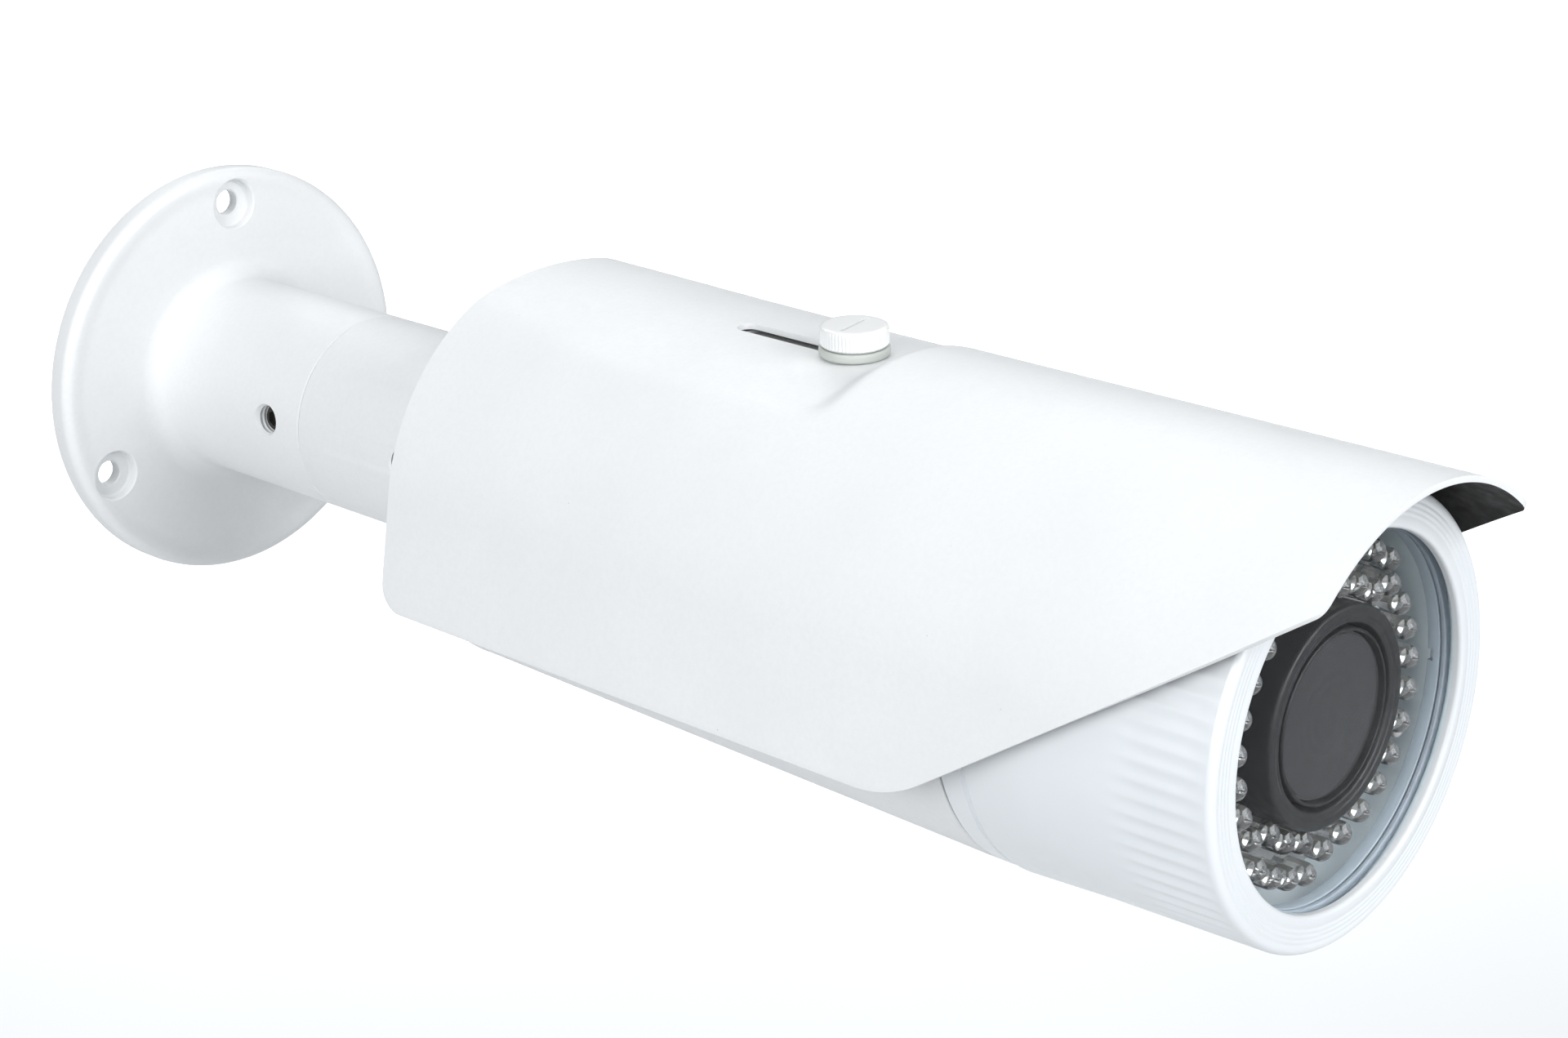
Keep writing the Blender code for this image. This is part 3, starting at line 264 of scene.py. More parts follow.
def combine(piece, operation, others):
    """Boolean with helper pieces, which are used up."""
    for other in others:
        modifier = piece.modifiers.new(other.name, "BOOLEAN")
        modifier.operation = operation
        modifier.solver = "EXACT"
        modifier.object = other
    bpy.context.view_layer.update()
    apply_modifiers(piece)
    for other in others:
        bpy.data.objects.remove(other, do_unlink=True)
    piece.data.shade_smooth()
    piece.data.set_sharp_from_angle(angle=math.radians(SHARP))
    return piece


def carve(piece, *cutters):
    return combine(piece, "DIFFERENCE", cutters)


def weld(piece, *others):
    return combine(piece, "UNION", others)


def merge(name, pieces):
    """Joins separate meshes into one piece without a Boolean."""
    shape = bmesh.new()
    for piece in pieces:
        shape.from_mesh(piece.data)
        bpy.data.objects.remove(piece, do_unlink=True)
    return add_piece(name, shape, UPRIGHT)


# ---------------------------------------------------------------- materials

class Finish:
    """A Principled material with procedural colour, roughness and relief in the object's own coordinates."""

    def __init__(self, name, colour, roughness, metallic=0.0, **sockets):
        self.material = bpy.data.materials.new(name)
        self.material.use_nodes = True
        self.nodes = self.material.node_tree.nodes
        self.links = self.material.node_tree.links
        self.colour = (*colour, 1.0)
        self.shader = self.nodes["Principled BSDF"]
        sockets.update(Base_Color=self.colour, Roughness=roughness, Metallic=metallic)
        self.set_values(self.shader, **sockets)
        self.place = self.add_node("TexCoord").outputs["Object"]
        self.colour_out = None
        self.normal_out = None

    def set_values(self, node, **values):
        for socket, value in values.items():
            node.inputs[socket.replace("_", " ")].default_value = value

    def add_node(self, kind, **values):
        node = self.nodes.new("ShaderNode" + kind)
        self.set_values(node, **values)
        return node

    def texture(self, kind, **values):
        """A texture node in the object's own coordinates."""
        node = self.add_node("Tex" + kind, **values)
        self.links.new(self.place, node.inputs["Vector"])
        return node

    def noise(self, scale, rough=0.5):
        return self.texture("Noise", Scale=scale, Detail=3.0, Roughness=rough).outputs["Fac"]

    def span(self, value, low, high, to_low, to_high):
        node = self.add_node("MapRange", From_Min=low, From_Max=high, To_Min=to_low, To_Max=to_high)
        self.links.new(value, node.inputs["Value"])
        return node.outputs["Result"]

    def tint(self, mask, colour):
        """Lays a second colour over the base where the mask is high."""
        mix = self.add_node("Mix")
        mix.data_type = "RGBA"
        self.links.new(mask, mix.inputs["Factor"])
        if self.colour_out:
            self.links.new(self.colour_out, mix.inputs["A"])
        else:
            mix.inputs["A"].default_value = self.colour
        mix.inputs["B"].default_value = (*colour, 1.0)
        self.colour_out = mix.outputs["Result"]
        self.links.new(self.colour_out, self.shader.inputs["Base Color"])
        return self

    def mottle(self, scale, colour, strength):
        return self.tint(self.span(self.noise(scale), 0.35, 0.7, 0.0, strength), colour)

    def specks(self, scale, colour, share):
        """Sparse small flecks, as dust or coarse grains in the paint."""
        distance = self.texture("Voronoi", Scale=scale).outputs["Distance"]
        return self.tint(self.span(distance, share, 0.6 * share, 0.0, 0.8), colour)

    def vary_roughness(self, scale, low, high):
        self.links.new(self.span(self.noise(scale), 0.3, 0.7, low, high), self.shader.inputs["Roughness"])
        return self

    def relief(self, height, strength, depth):
        bump = self.add_node("Bump", Strength=strength, Distance=depth * MM)
        self.links.new(height, bump.inputs["Height"])
        if self.normal_out:
            self.links.new(self.normal_out, bump.inputs["Normal"])
        self.normal_out = bump.outputs["Normal"]
        self.links.new(self.normal_out, self.shader.inputs["Normal"])
        return self

    def grain(self, scale, strength, depth):
        return self.relief(self.noise(scale, 0.6), strength, depth)

    def turning_marks(self, scale, strength, depth):
        """Fine rings left by a lathe, round the camera's axis."""
        wave = self.texture("Wave", Scale=scale, Distortion=0.4, Detail=2.0)
        wave.wave_type = "RINGS"
        wave.rings_direction = "Y"
        return self.relief(wave.outputs["Fac"], strength, depth)


def shaded(colour, factor):
    return tuple(min(1.0, factor * channel) for channel in colour)


def powder_coat(name, colour, roughness):
    """Textured outdoor powder coat: fine pebbled relief, faint clouding, sparse grey flecks."""
    finish = Finish(name, colour, roughness)
    finish.mottle(28, shaded(colour, 0.93), 0.5)
    finish.mottle(900, shaded(colour, 0.9), 0.25)
    finish.specks(95, (0.42, 0.43, 0.44), 0.016)
    finish.vary_roughness(420, roughness - 0.07, roughness + 0.1)
    finish.grain(2300, 0.32, 0.05)
    finish.grain(700, 0.16, 0.08)
    return finish.material


def satin_paint(name, colour, roughness):
    """Smooth sprayed paint with a little orange peel and clear gloss."""
    finish = Finish(name, colour, roughness, Coat_Weight=0.25, Coat_Roughness=0.12)
    finish.mottle(35, shaded(colour, 0.94), 0.5)
    finish.specks(80, (0.5, 0.51, 0.52), 0.012)
    finish.vary_roughness(260, roughness - 0.05, roughness + 0.09)
    finish.grain(950, 0.1, 0.05)
    return finish.material


def black_paint(name):
    finish = Finish(name, (0.018, 0.0175, 0.017), 0.6, IOR=1.2)
    finish.mottle(60, (0.032, 0.0315, 0.0305), 0.7)
    finish.vary_roughness(300, 0.45, 0.68)
    finish.grain(2000, 0.3, 0.05)
    return finish.material


def bare_metal(name, colour, roughness):
    finish = Finish(name, colour, roughness, 1.0)
    finish.mottle(180, shaded(colour, 0.72), 0.6)
    finish.vary_roughness(500, roughness - 0.08, roughness + 0.14)
    finish.turning_marks(1400, 0.12, 0.02)
    finish.grain(1600, 0.1, 0.02)
    return finish.material


def dark_metal(name, colour, roughness, metallic=0.85):
    finish = Finish(name, colour, roughness, metallic)
    finish.mottle(220, shaded(colour, 2.2), 0.5)
    finish.vary_roughness(700, roughness - 0.08, roughness + 0.15)
    finish.grain(1800, 0.18, 0.03)
    return finish.material


def plastic(name, colour, roughness, lift=1.4):
    finish = Finish(name, colour, roughness)
    finish.mottle(150, shaded(colour, lift), 0.5)
    finish.vary_roughness(500, roughness - 0.06, roughness + 0.12)
    finish.grain(2600, 0.22, 0.03)
    return finish.material


def rubber(name):
    finish = Finish(name, (0.018, 0.018, 0.018), 0.78, Sheen_Weight=0.2)
    finish.mottle(260, (0.04, 0.04, 0.04), 0.6)
    finish.vary_roughness(600, 0.68, 0.88)
    finish.grain(1700, 0.3, 0.04)
    return finish.material


def clear(name, colour, roughness, ior, smear=0.0):
    finish = Finish(name, colour, roughness, Transmission_Weight=1.0, IOR=ior)
    finish.vary_roughness(90, roughness, roughness + 0.02)
    if smear:
        finish.grain(70, smear, 0.02)
    return finish.material


def circuit_board(name, colour, trace):
    """Solder mask over copper runs, with rows of small bright pads."""
    finish = Finish(name, colour, 0.38, Coat_Weight=0.3, Coat_Roughness=0.25)
    runs = finish.texture("Brick", Scale=210, Mortar_Size=0.045).outputs["Fac"]
    finish.tint(finish.span(runs, 0.0, 1.0, 0.0, 0.6), trace)
    finish.mottle(120, shaded(colour, 0.6), 0.5)
    finish.vary_roughness(400, 0.3, 0.5)
    finish.relief(runs, 0.3, 0.03)
    return finish.material


def floor_finish():
    finish = Finish("studio floor", (0.62, 0.63, 0.64), 0.7)
    finish.mottle(0.6, (0.6, 0.61, 0.62), 0.3)
    finish.vary_roughness(3, 0.65, 0.8)
    finish.grain(60, 0.02, 0.1)
    return finish.material


MATERIALS = {
    "coat": powder_coat("white powder coat", (0.80, 0.815, 0.825), 0.5),
    "cover": satin_paint("white satin paint", (0.775, 0.81, 0.84), 0.33),
    "knob": satin_paint("white knob paint", (0.80, 0.81, 0.815), 0.42),
    "under": black_paint("black shield lining"),
    "dark_steel": dark_metal("blackened steel", (0.07, 0.068, 0.065), 0.38),
    "steel": bare_metal("bright steel", (0.62, 0.62, 0.61), 0.3),
    "alloy": bare_metal("turned alloy", (0.66, 0.67, 0.68), 0.36),
    "washer": plastic("grey washer", (0.50, 0.53, 0.50), 0.5, 1.1),
    "sensor": plastic("sensor cap", (0.3, 0.29, 0.28), 0.35),
    "black": plastic("black plastic", (0.005, 0.005, 0.0055), 0.45, 1.15),
    "dark_alloy": dark_metal("black anodised alloy", (0.02, 0.02, 0.021), 0.42, 0.6),
    "lens_face": plastic("lens face", (0.042, 0.0415, 0.043), 0.6, 1.15),
    "rubber": rubber("black rubber"),
    "seal": plastic("grey seal", (0.26, 0.3, 0.34), 0.6),
    "window": clear("window glass", (0.95, 0.97, 0.985), 0.0, 1.14),
    "lens_glass": clear("coated lens glass", (0.62, 0.62, 0.63), 0.02, 1.16),
    "resin": clear("clear resin", (0.93, 0.93, 0.94), 0.02, 1.52, 0.15),
    "filter": clear("filter glass", (0.45, 0.12, 0.2), 0.02, 1.52),
    "board": circuit_board("green circuit board", (0.012, 0.09, 0.035), (0.02, 0.17, 0.06)),
    "led_board": circuit_board("grey circuit board", (0.2, 0.203, 0.207), (0.24, 0.244, 0.25)),
    "chip": plastic("chip", (0.03, 0.03, 0.035), 0.5),
    "lead_frame": bare_metal("lead frame", (0.75, 0.74, 0.7), 0.28),
    # inner wall behind the window: the cover's white paint tinted blue and lightened, a painted cool shade
    # seen through the glass
    "inner_wall_blue_shade": satin_paint("inner wall paint with painted blue shade", (0.86, 0.96, 1.0), 0.5),
    # window clamp ring: its darker blue-grey colour is painted cool shade behind the window glass
    "clamp": satin_paint("blue-grey ring with painted shade", (0.34, 0.4, 0.45), 0.5),
    "floor": floor_finish(),
}


def wear(piece, *names):
    """Gives a piece its materials, the first one everywhere unless the mesh says otherwise."""
    piece.data.materials.clear()
    for name in names:
        piece.data.materials.append(MATERIALS[name])


def mount(piece, finish, body, *nodes):
    """Gives a piece its finish, unless it wears it, and its body, and hides the CAD nodes it stands for."""
    if MATERIALS[finish] not in piece.data.materials[:]:
        wear(piece, finish)
    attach(piece, body)
    if nodes:
        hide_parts(*nodes)


# ---------------------------------------------------------------- wall bracket

def threaded_hole(name, low, high, place):
    """A cutter with thread crests along it and a chamfer at its outer mouth."""
    crest = GRUB_HOLE - 0.32
    turns = int((high - low) / GRUB_PITCH)
    outline = [(0, low)] + repeated([(crest, 0), (GRUB_HOLE, 0.3), (GRUB_HOLE, 0.5)], low, GRUB_PITCH, turns)
    outline += [(crest, low + GRUB_PITCH * turns), (GRUB_HOLE + 0.35, high - 0.1), (GRUB_HOLE + 3, high + 3)]
    return lathe(name, outline + [(0, high + 3)], 48, place, 0)


def wall_flange():
    radius = radius_of("wall_flange")
    _, socket_out = reach("wall_flange")
    thickness = 6.5
    face = thickness - 0.5
    edge = 2.4
    fillet = 5.0
    bore = 19.7
    floor_out = socket_out - 25.8
    cable = 12.5
    outline = [(cable, 0), (radius - 0.4, 0), (radius, 0.5)]
    outline += arc((radius - edge, thickness - edge), edge, 0, 90, 10)
    outline += [(radius - 1.6 * edge, thickness - 0.1), (radius - 2.1 * edge, thickness - 0.45)]
    outline += [(radius - 2.8 * edge, face), (NECK_RADIUS + 1.5 * fillet, face + 0.05)]
    outline += arc((NECK_RADIUS + fillet, face + fillet), fillet, 268, 180, 14)
    outline += [(NECK_RADIUS, socket_out - 0.3), (NECK_RADIUS - 0.3, socket_out), (bore, socket_out)]
    outline += [(bore, floor_out), (cable, floor_out)]
    flange = lathe("wall_flange_body", outline, FINE, ON_BRACKET, 0.15)
    hole, head, seat = 3.2, 6.25, 3.2
    cut = [(0, -1), (hole, -1), (hole, seat - 0.3), (hole + 0.3, seat)]
    cut += [(head - 0.5, seat + 0.1), (head, seat + 0.6), (head, face - 0.35)]
    cut += [(head + 0.15, face - 0.1), (head + 0.5, face + 0.15)]
    cut += [(head + 0.6, thickness + 2), (0, thickness + 2)]
    cutters = [lathe("cut_hole", cut, 72, around(43.8, angle, 0, ON_BRACKET), 0) for angle in (0, 120, 240)]
    cutters.append(threaded_hole("cut_grub", 15, NECK_RADIUS, radial(90, GRUB_OUT, ON_BRACKET)))
    carve(flange, *cutters)
    mount(flange, "coat", "base", "wall_flange")


def grub_screw(node, body, low, high, place):
    """A socket set screw: chamfered ends, a thread and a six-sided key socket."""
    crest = 3.4
    root, point = crest - 0.22, crest - 0.7
    turns = int((high - low - 1.3) / GRUB_PITCH)
    outline = [(0, low), (point, low), (root, low + 0.6)]
    outline += repeated([(root, 0.1), (crest, 0.5), (root, 0.9)], low + 0.6, GRUB_PITCH, turns)
    outline += [(root, high - 0.5), (point, high), (0, high)]
    screw = lathe(node + "_body", outline, 48, place, 0)
    depth = min(3.5, 0.6 * (high - low))
    carve(screw, prism("cut_key", polygon(2.0, 6), high - depth, high + 1, place))
    mount(screw, "dark_steel", body, node)


def swivel_arm():
    near, _ = reach("swivel_arm")
    shoulder = reach("wall_flange")[1] + 0.12
    spigot, bore, outlet = 19.4, 12.5, 9.0
    tip = TILT_OUT + CHEEK_RADIUS + 1
    room = CHEEK_RADIUS + GAP + 0.5
    narrow = TILT_OUT - room - 1
    outline = [(0, TILT_OUT - 5), (outlet, TILT_OUT - 5), (outlet, narrow), (bore, narrow), (bore, near)]
    outline += [(spigot, near), (spigot, shoulder), (NECK_RADIUS - 0.3, shoulder)]
    outline += [(NECK_RADIUS, shoulder + 0.3), (NECK_RADIUS, tip), (0, tip)]
    arm = lathe("swivel_arm_body", outline, FINE, ON_BRACKET, 0.15)
    wide = 1.3 * NECK_RADIUS
    slope = TILT_OUT + (CHEEK_RADIUS - wide * math.sin(TILT_LIMIT)) / math.cos(TILT_LIMIT)
    limit = math.degrees(TILT_LIMIT)
    profile = [(-wide, near - 5), (wide, near - 5), (wide, slope)]
    profile += [(up, out) for out, up in arc((TILT_OUT, 0), CHEEK_RADIUS, limit, -limit, 24)]
    profile += [(-wide, slope)]
    sideways = ON_BRACKET @ Matrix(((0, 0, 1, 0), (1, 0, 0, 0), (0, 1, 0, 0), (0, 0, 0, 1)))
    keep = prism("keep_cheeks", profile, -wide, wide, sideways)
    combine(arm, "INTERSECT", [keep])
    half = 10.3
    across = radial(90, TILT_OUT, ON_BRACKET)
    drum = rod("cut_barrel_room", room, -half, half, 96, across)
    start = TILT_OUT - 2
    wedge = [(-room, start), (room, start), (2 * wide, TILT_OUT + wide), (-2 * wide, TILT_OUT + wide)]
    web_room = prism("cut_web_room", wedge, -half, half, sideways)
    carve(arm, drum, web_room, threaded_hole("cut_left", half - 2, NECK_RADIUS, across))
    back_across = radial(-90, TILT_OUT, ON_BRACKET)
    carve(arm, threaded_hole("cut_right", half - 2, NECK_RADIUS, back_across))
    bevel_edges(arm, 0.35, 40)
    mount(arm, "coat", "arm", "swivel_arm")


def bevel_edges(piece, width, angle, segments=2):
    modifier = piece.modifiers.new("round edges", "BEVEL")
    modifier.width = width * MM
    modifier.segments = segments
    modifier.limit_method = "ANGLE"
    modifier.angle_limit = math.radians(angle)
    modifier.use_clamp_overlap = True
    modifier.harden_normals = False
    bpy.context.view_layer.update()
    apply_modifiers(piece)
    piece.data.shade_smooth()
    piece.data.set_sharp_from_angle(angle=math.radians(45))


def tilt_knuckle():
    plate = TILT_OUT + CHEEK_RADIUS + GAP
    _, tip = reach("tilt_knuckle")
    top = reach("rear_cap")[0] - GAP
    plate_radius, spigot, bore, half = 22.0, 10.8, 6.0, 10.0
    outline = [(0, plate), (plate_radius - 1.2, plate), (plate_radius, plate + 1.2)]
    outline += [(plate_radius, top), (spigot, top)]
    pitch = 1.5
    outline += repeated([(spigot - 0.45, 0), (spigot, 0.5)], top + 2, pitch, int((tip - top - 3) / pitch))
    outline += [(spigot - 0.45, tip - 0.8), (spigot - 0.9, tip), (0, tip)]
    knuckle = lathe("tilt_knuckle_body", outline, MEDIUM, ON_BRACKET, 0.12)
    across = radial(90, TILT_OUT, ON_BRACKET)
    drum = rod("add_barrel", CHEEK_RADIUS + GAP, -half, half, 96, across, 0.5)
    wide, tall = half - 0.1, 0.8 * (CHEEK_RADIUS + GAP)
    web = block("add_web", (-wide, -tall, TILT_OUT), (wide, tall, plate + 1), ON_BRACKET, 0)
    weld(knuckle, drum, web)
    cable = rod("cut_cable", bore, 70, tip + 5, 64, ON_BRACKET)
    carve(knuckle, cable, rod("cut_holes", GRUB_HOLE, -2 * half, 2 * half, 48, across))
    mount(knuckle, "coat", "knuckle", "tilt_knuckle")


def knuckle_nut():
    low, high = reach("knuckle_nut")
    outer, inner = 16.0, 11.1
    nut = ring("knuckle_nut_body", inner, outer, low, high, MEDIUM, ON_AXIS, 0.5)
    size = 1.6
    corners = (-size, -size, low - 1), (size, size, high + 1)
    carve(nut, *(block("cut_notch", *corners, around(outer, angle, 0), 0) for angle in range(0, 360, 60)))
    mount(nut, "alloy", "knuckle", "knuckle_nut")


# ---------------------------------------------------------------- barrel

CAP_SCREWS = 4


def cap_screw_place(number):
    return around(38.6, 45 + 360 * number / CAP_SCREWS, 0)


def rear_cap():
    low, ring_end = reach("rear_cap")
    radius = radius_of("rear_cap")
    inner_face = low + 8
    bore, edge, seal = 11.1, 4.0, 17.2
    outer_ring, inner_ring = 34.0, 30.5
    groove = ring_end - 4
    outline = [(bore, low), (seal - 1.3, low), (seal - 1.3, low + 2), (seal + 1.3, low + 2)]
    outline += [(seal + 1.3, low), (24.5, low), (25.0, low + 0.25), (26.0, low + 0.25)]
    outline += [(26.5, low)]
    outline += arc((radius - edge, low + edge), edge, 270, 360, 16)
    outline += [(radius, inner_face - 0.3), (radius - 0.3, inner_face), (outer_ring, inner_face)]
    outline += [(outer_ring, groove - 1.3), (outer_ring - 1.7, groove - 1.3)]
    outline += [(outer_ring - 1.7, groove + 1.3), (outer_ring, groove + 1.3), (outer_ring, ring_end)]
    outline += [(inner_ring, ring_end), (inner_ring, inner_face), (bore, inner_face)]
    cap = lathe("rear_cap_body", outline, FINE, ON_AXIS, 0.15)
    hole, head, seat = 1.8, 3.1, low + 3.8
    cut = [(0, low - 5), (head + 0.4, low - 5), (head + 0.4, low), (head, low + 0.4)]
    cut += [(head, seat), (hole, seat), (hole, inner_face + 2), (0, inner_face + 2)]
    carve(cap, *(lathe("cut_hole", cut, 48, cap_screw_place(number), 0) for number in range(CAP_SCREWS)))
    mount(cap, "coat", "head", "rear_cap")


def rear_cap_screw(number):
    """A socket-head screw with a knurled head, seen from behind."""
    node = f"rear_cap_screw_{number + 1}"
    low, high = reach(node)
    head, shank = 2.8, 1.5
    outline = [(0, low), (head - 0.3, low), (head, low + 0.3), (head, low + 3), (shank, low + 3)]
    pitch = 0.5
    outline += repeated([(shank - 0.2, 0), (shank, 0.5)], low + 3.3, pitch, int((high - low - 4) / pitch))
    outline += [(shank - 0.4, high), (0, high)]

    def knurl(radius, height, angle):
        if radius < head - 0.05 or height > low + 3:
            return radius
        return radius - 0.09 * abs(math.sin(12 * angle))

    screw = lathe(node + "_body", outline, 96, cap_screw_place(number), 0, knurl)
    carve(screw, prism(node + "_key", polygon(1.45, 6), low - 1, low + 1.6, cap_screw_place(number)))
    mount(screw, "steel", "head", node)


def housing():
    low, thread_end = reach("housing")
    front = 284.2
    rear_radius, front_radius, thread = 45.4, radius_of("housing"), 44.3
    ring_bore, bore, ledge_bore = 34.3, 41.8, 36.5
    ledge = reach("chassis")[1] - 3.3
    step = bore - ledge_bore
    ring_end = low + 8
    outline = [(ring_bore, low), (rear_radius - 0.3, low), (rear_radius, low + 0.3)]
    outline += [(front_radius, front - 0.35), (front_radius - 0.35, front), (thread, front)]
    pitch = 2.0
    turns = int((thread_end - front - 5) / pitch)
    outline += repeated([(thread - 0.5, 0), (thread, 0.4), (thread, 0.6)], front + 3.5, pitch, turns)
    outline += [(thread - 0.5, thread_end - 0.8), (thread - 1, thread_end), (bore, thread_end)]
    outline += [(bore, ledge), (ledge_bore, ledge), (ledge_bore, ledge - 4), (bore, ledge - 4 - step)]
    outline += [(bore, ring_end + step), (ring_bore, ring_end)]
    barrel = lathe("housing_body", outline, FINE, ON_AXIS, 0.12)
    across = 20.2
    land = block("cut_land", (-across, LAND_HEIGHT, 190), (across, 52, 275), ON_AXIS, 0)
    carve(barrel, land)
    place = upright(THUMBSCREW_OUT)
    weld(barrel, rod("add_boss", 5.6, 38, 43.5, 48, place))
    hole = SLOT_WIDTH / 2
    cut = [(0, 39.1), (hole, 39.1), (hole, LAND_HEIGHT - 0.4), (hole + 0.6, LAND_HEIGHT + 0.2)]
    cut += [(hole + 0.6, 60), (0, 60)]
    cutters = [lathe("cut_screw", cut, 48, place, 0)]
    for number in range(CAP_SCREWS):
        cutters.append(rod(f"cut_{number}", 1.8, low - 5, ring_end - 1, 32, cap_screw_place(number)))
    carve(barrel, *cutters)
    mount(barrel, "coat", "head", "housing")


def chassis_fasteners():
    for number, side in enumerate((-1, 1)):
        node = f"chassis_screw_{number + 1}"
        low, high = reach(node)
        place = around(39.1, 90 * side, 0)
        outline = [(0, low), (1.1, low + 0.3), (1.1, high - 1.5), (2.0, high - 1.5)]
        outline += [(2.0, high - 0.5), (1.4, high), (0, high)]
        screw = lathe(node + "_body", outline, 32, place, 0.1)
        bars = []
        for x, y in ((0.25, 1.5), (1.5, 0.25)):
            bars.append(block("cut_bar", (-x, -y, high - 0.9), (x, y, high + 1), place, 0))
        carve(screw, *bars)
        mount(screw, "steel", "head", node)


def o_rings():
    for node, radius, out, body in (
        ("knuckle_seal", 17.2, 124.9, "knuckle"),
        ("rear_o_ring", 33.3, 136.0, "head"),
        ("front_o_ring", 45.45, 285.95, "head"),
    ):
        section = arc((radius, out), 0.74, 0, 345, 23)
        seal = lathe(node + "_body", section, MEDIUM, ON_AXIS, 0)
        mount(seal, "rubber", body, node)


def cable_grommet():
    """Ribbed rubber sleeve where the cable enters the barrel."""
    low, high = reach("cable_grommet")
    outer, inner = 5.65, 3.2
    root = outer - 0.5
    ribs = 4
    outline = [(inner, low), (root, low)]
    outline += repeated([(root, 0.2), (outer, 0.5), (root, 0.8)], low, (high - low) / ribs, ribs)
    outline += [(root, high), (inner + 0.4, high), (inner, high - 0.5)]
    sleeve = lathe("cable_grommet_body", outline, COARSE, ON_AXIS, 0.2)
    mount(sleeve, "rubber", "knuckle", "cable_grommet")


# ---------------------------------------------------------------- front cover and window

FLUTES = 76
FLUTE_DEPTH = 0.4
FLUTE_REAR = 325.5
FLUTE_FULL = 332.0


def front_cover():
    rear, face = reach("front_cover")
    pocket_ring, thread, bore, pocket = 46.8, 44.6, 42.5, 40.8
    thread_end = 305.8
    seat = face - 1.8
    pocket_rear = reach("window_ring")[0] - 1
    groove = 290.4
    barrel = 48.05
    flare, waist, front = 48.3, 47.4, 46.6
    rim = 1.7
    outline = [(pocket_ring, rear), (barrel - 0.35, rear), (barrel, rear + 0.35), (barrel, groove - 0.1)]
    outline += [(barrel - 0.5, groove + 0.3), (barrel - 0.5, groove + 0.7)]
    outline += [(flare - 0.1, groove + 1.25), (flare, groove + 1.8), (waist, 312.5)]
    rows = 14
    for row in range(1, rows + 1):
        share = row / rows
        outline.append((waist + (front - waist) * share, 312.5 + (face - rim - 312.5) * share))
    outline += arc((front - rim, face - rim), rim, 8, 90, 10)
    for groove_number in range(4):
        middle = 44.2 - 1.05 * groove_number
        outline += [(middle + 0.38, face), (middle + 0.12, face - 0.16)]
        outline += [(middle - 0.12, face - 0.16), (middle - 0.38, face)]
    outline += [(WINDOW_OPENING + 0.9, face)]
    outline += arc((WINDOW_OPENING + 0.9, face - 0.9), 0.9, 90, 180, 6)
    outline += [(WINDOW_OPENING, seat), (pocket, seat), (pocket, pocket_rear), (bore, pocket_rear)]
    outline += [(bore, thread_end), (thread, thread_end), (thread, rear + 2.4), (pocket_ring, rear + 2.4)]

    def fluted(radius, height, angle):
        if radius < front - 1.6 * rim or height < FLUTE_REAR:
            return radius
        start = smooth_step(FLUTE_REAR, FLUTE_FULL, height)
        end = 1 - smooth_step(face - 2.2 * rim, face - 0.9 * rim, height)
        wave = 0.5 - 0.5 * math.cos(FLUTES * angle)
        return radius - FLUTE_DEPTH * start * end * wave**0.7

    cover = lathe("front_cover_body", outline, 10 * FLUTES, ON_AXIS, 0, fluted, 40)
    # faces inside the bore behind the window get the blue-tinted copy of the white paint: painted cool shade
    wear(cover, "cover", "inner_wall_blue_shade")
    for face_found in cover.data.polygons:
        centre = face_found.center / MM
        if math.hypot(centre.x, centre.z) < bore + 0.5 and -centre.y < seat:
            face_found.material_index = 1
    mount(cover, "cover", "cover", "front_cover")


def window():
    low, high = reach("window_glass")
    radius = radius_of("window_glass")
    chamfer = 0.25
    outline = [(0, low), (radius - chamfer, low), (radius, low + chamfer), (radius, high - chamfer)]
    outline += [(radius - chamfer, high), (0, high)]
    glass = lathe("window_glass_pane", outline, MEDIUM, ON_AXIS, 0)
    glass.visible_shadow = False
    mount(glass, "window", "window", "window_glass")
    inner, outer = 38.4, 40.5
    gasket = ring("window_gasket_ring", inner, outer, *reach("window_gasket"), MEDIUM, ON_AXIS, 0.35)
    mount(gasket, "seal", "window", "window_gasket")
    low, high = reach("window_ring")
    clamp = ring("window_clamp_ring", inner, outer, low, high, MEDIUM, ON_AXIS, 0.3)
    corners = (-1.2, -1.5, low - 1), (1.2, 1.0, low + 1.3)
    carve(clamp, *(block("cut_notch", *corners, around(inner, angle, 0), 0) for angle in (90, 270)))
    mount(clamp, "clamp", "window", "window_ring")


# ---------------------------------------------------------------- diodes, lens and boards

def led_places():
    """(radius, angle) of each diode, as on the CAD model's carrier."""
    places = []
    for first, pitch, count in ((4.3, 13.7, 10), (-46.0, -13.15, 11)):
        places += [(29.5, first + pitch * number) for number in range(count)]
    places += [(33.0, angle) for angle in (-38.5, -27.5, -16.5, -5.5, 139.5, 150.5, 161.5, 172.5)]
    places += [(25.85, angle) for angle in (-36.5, -22.0, -7.5, 137.5, 152.0, 166.5)]
    return places


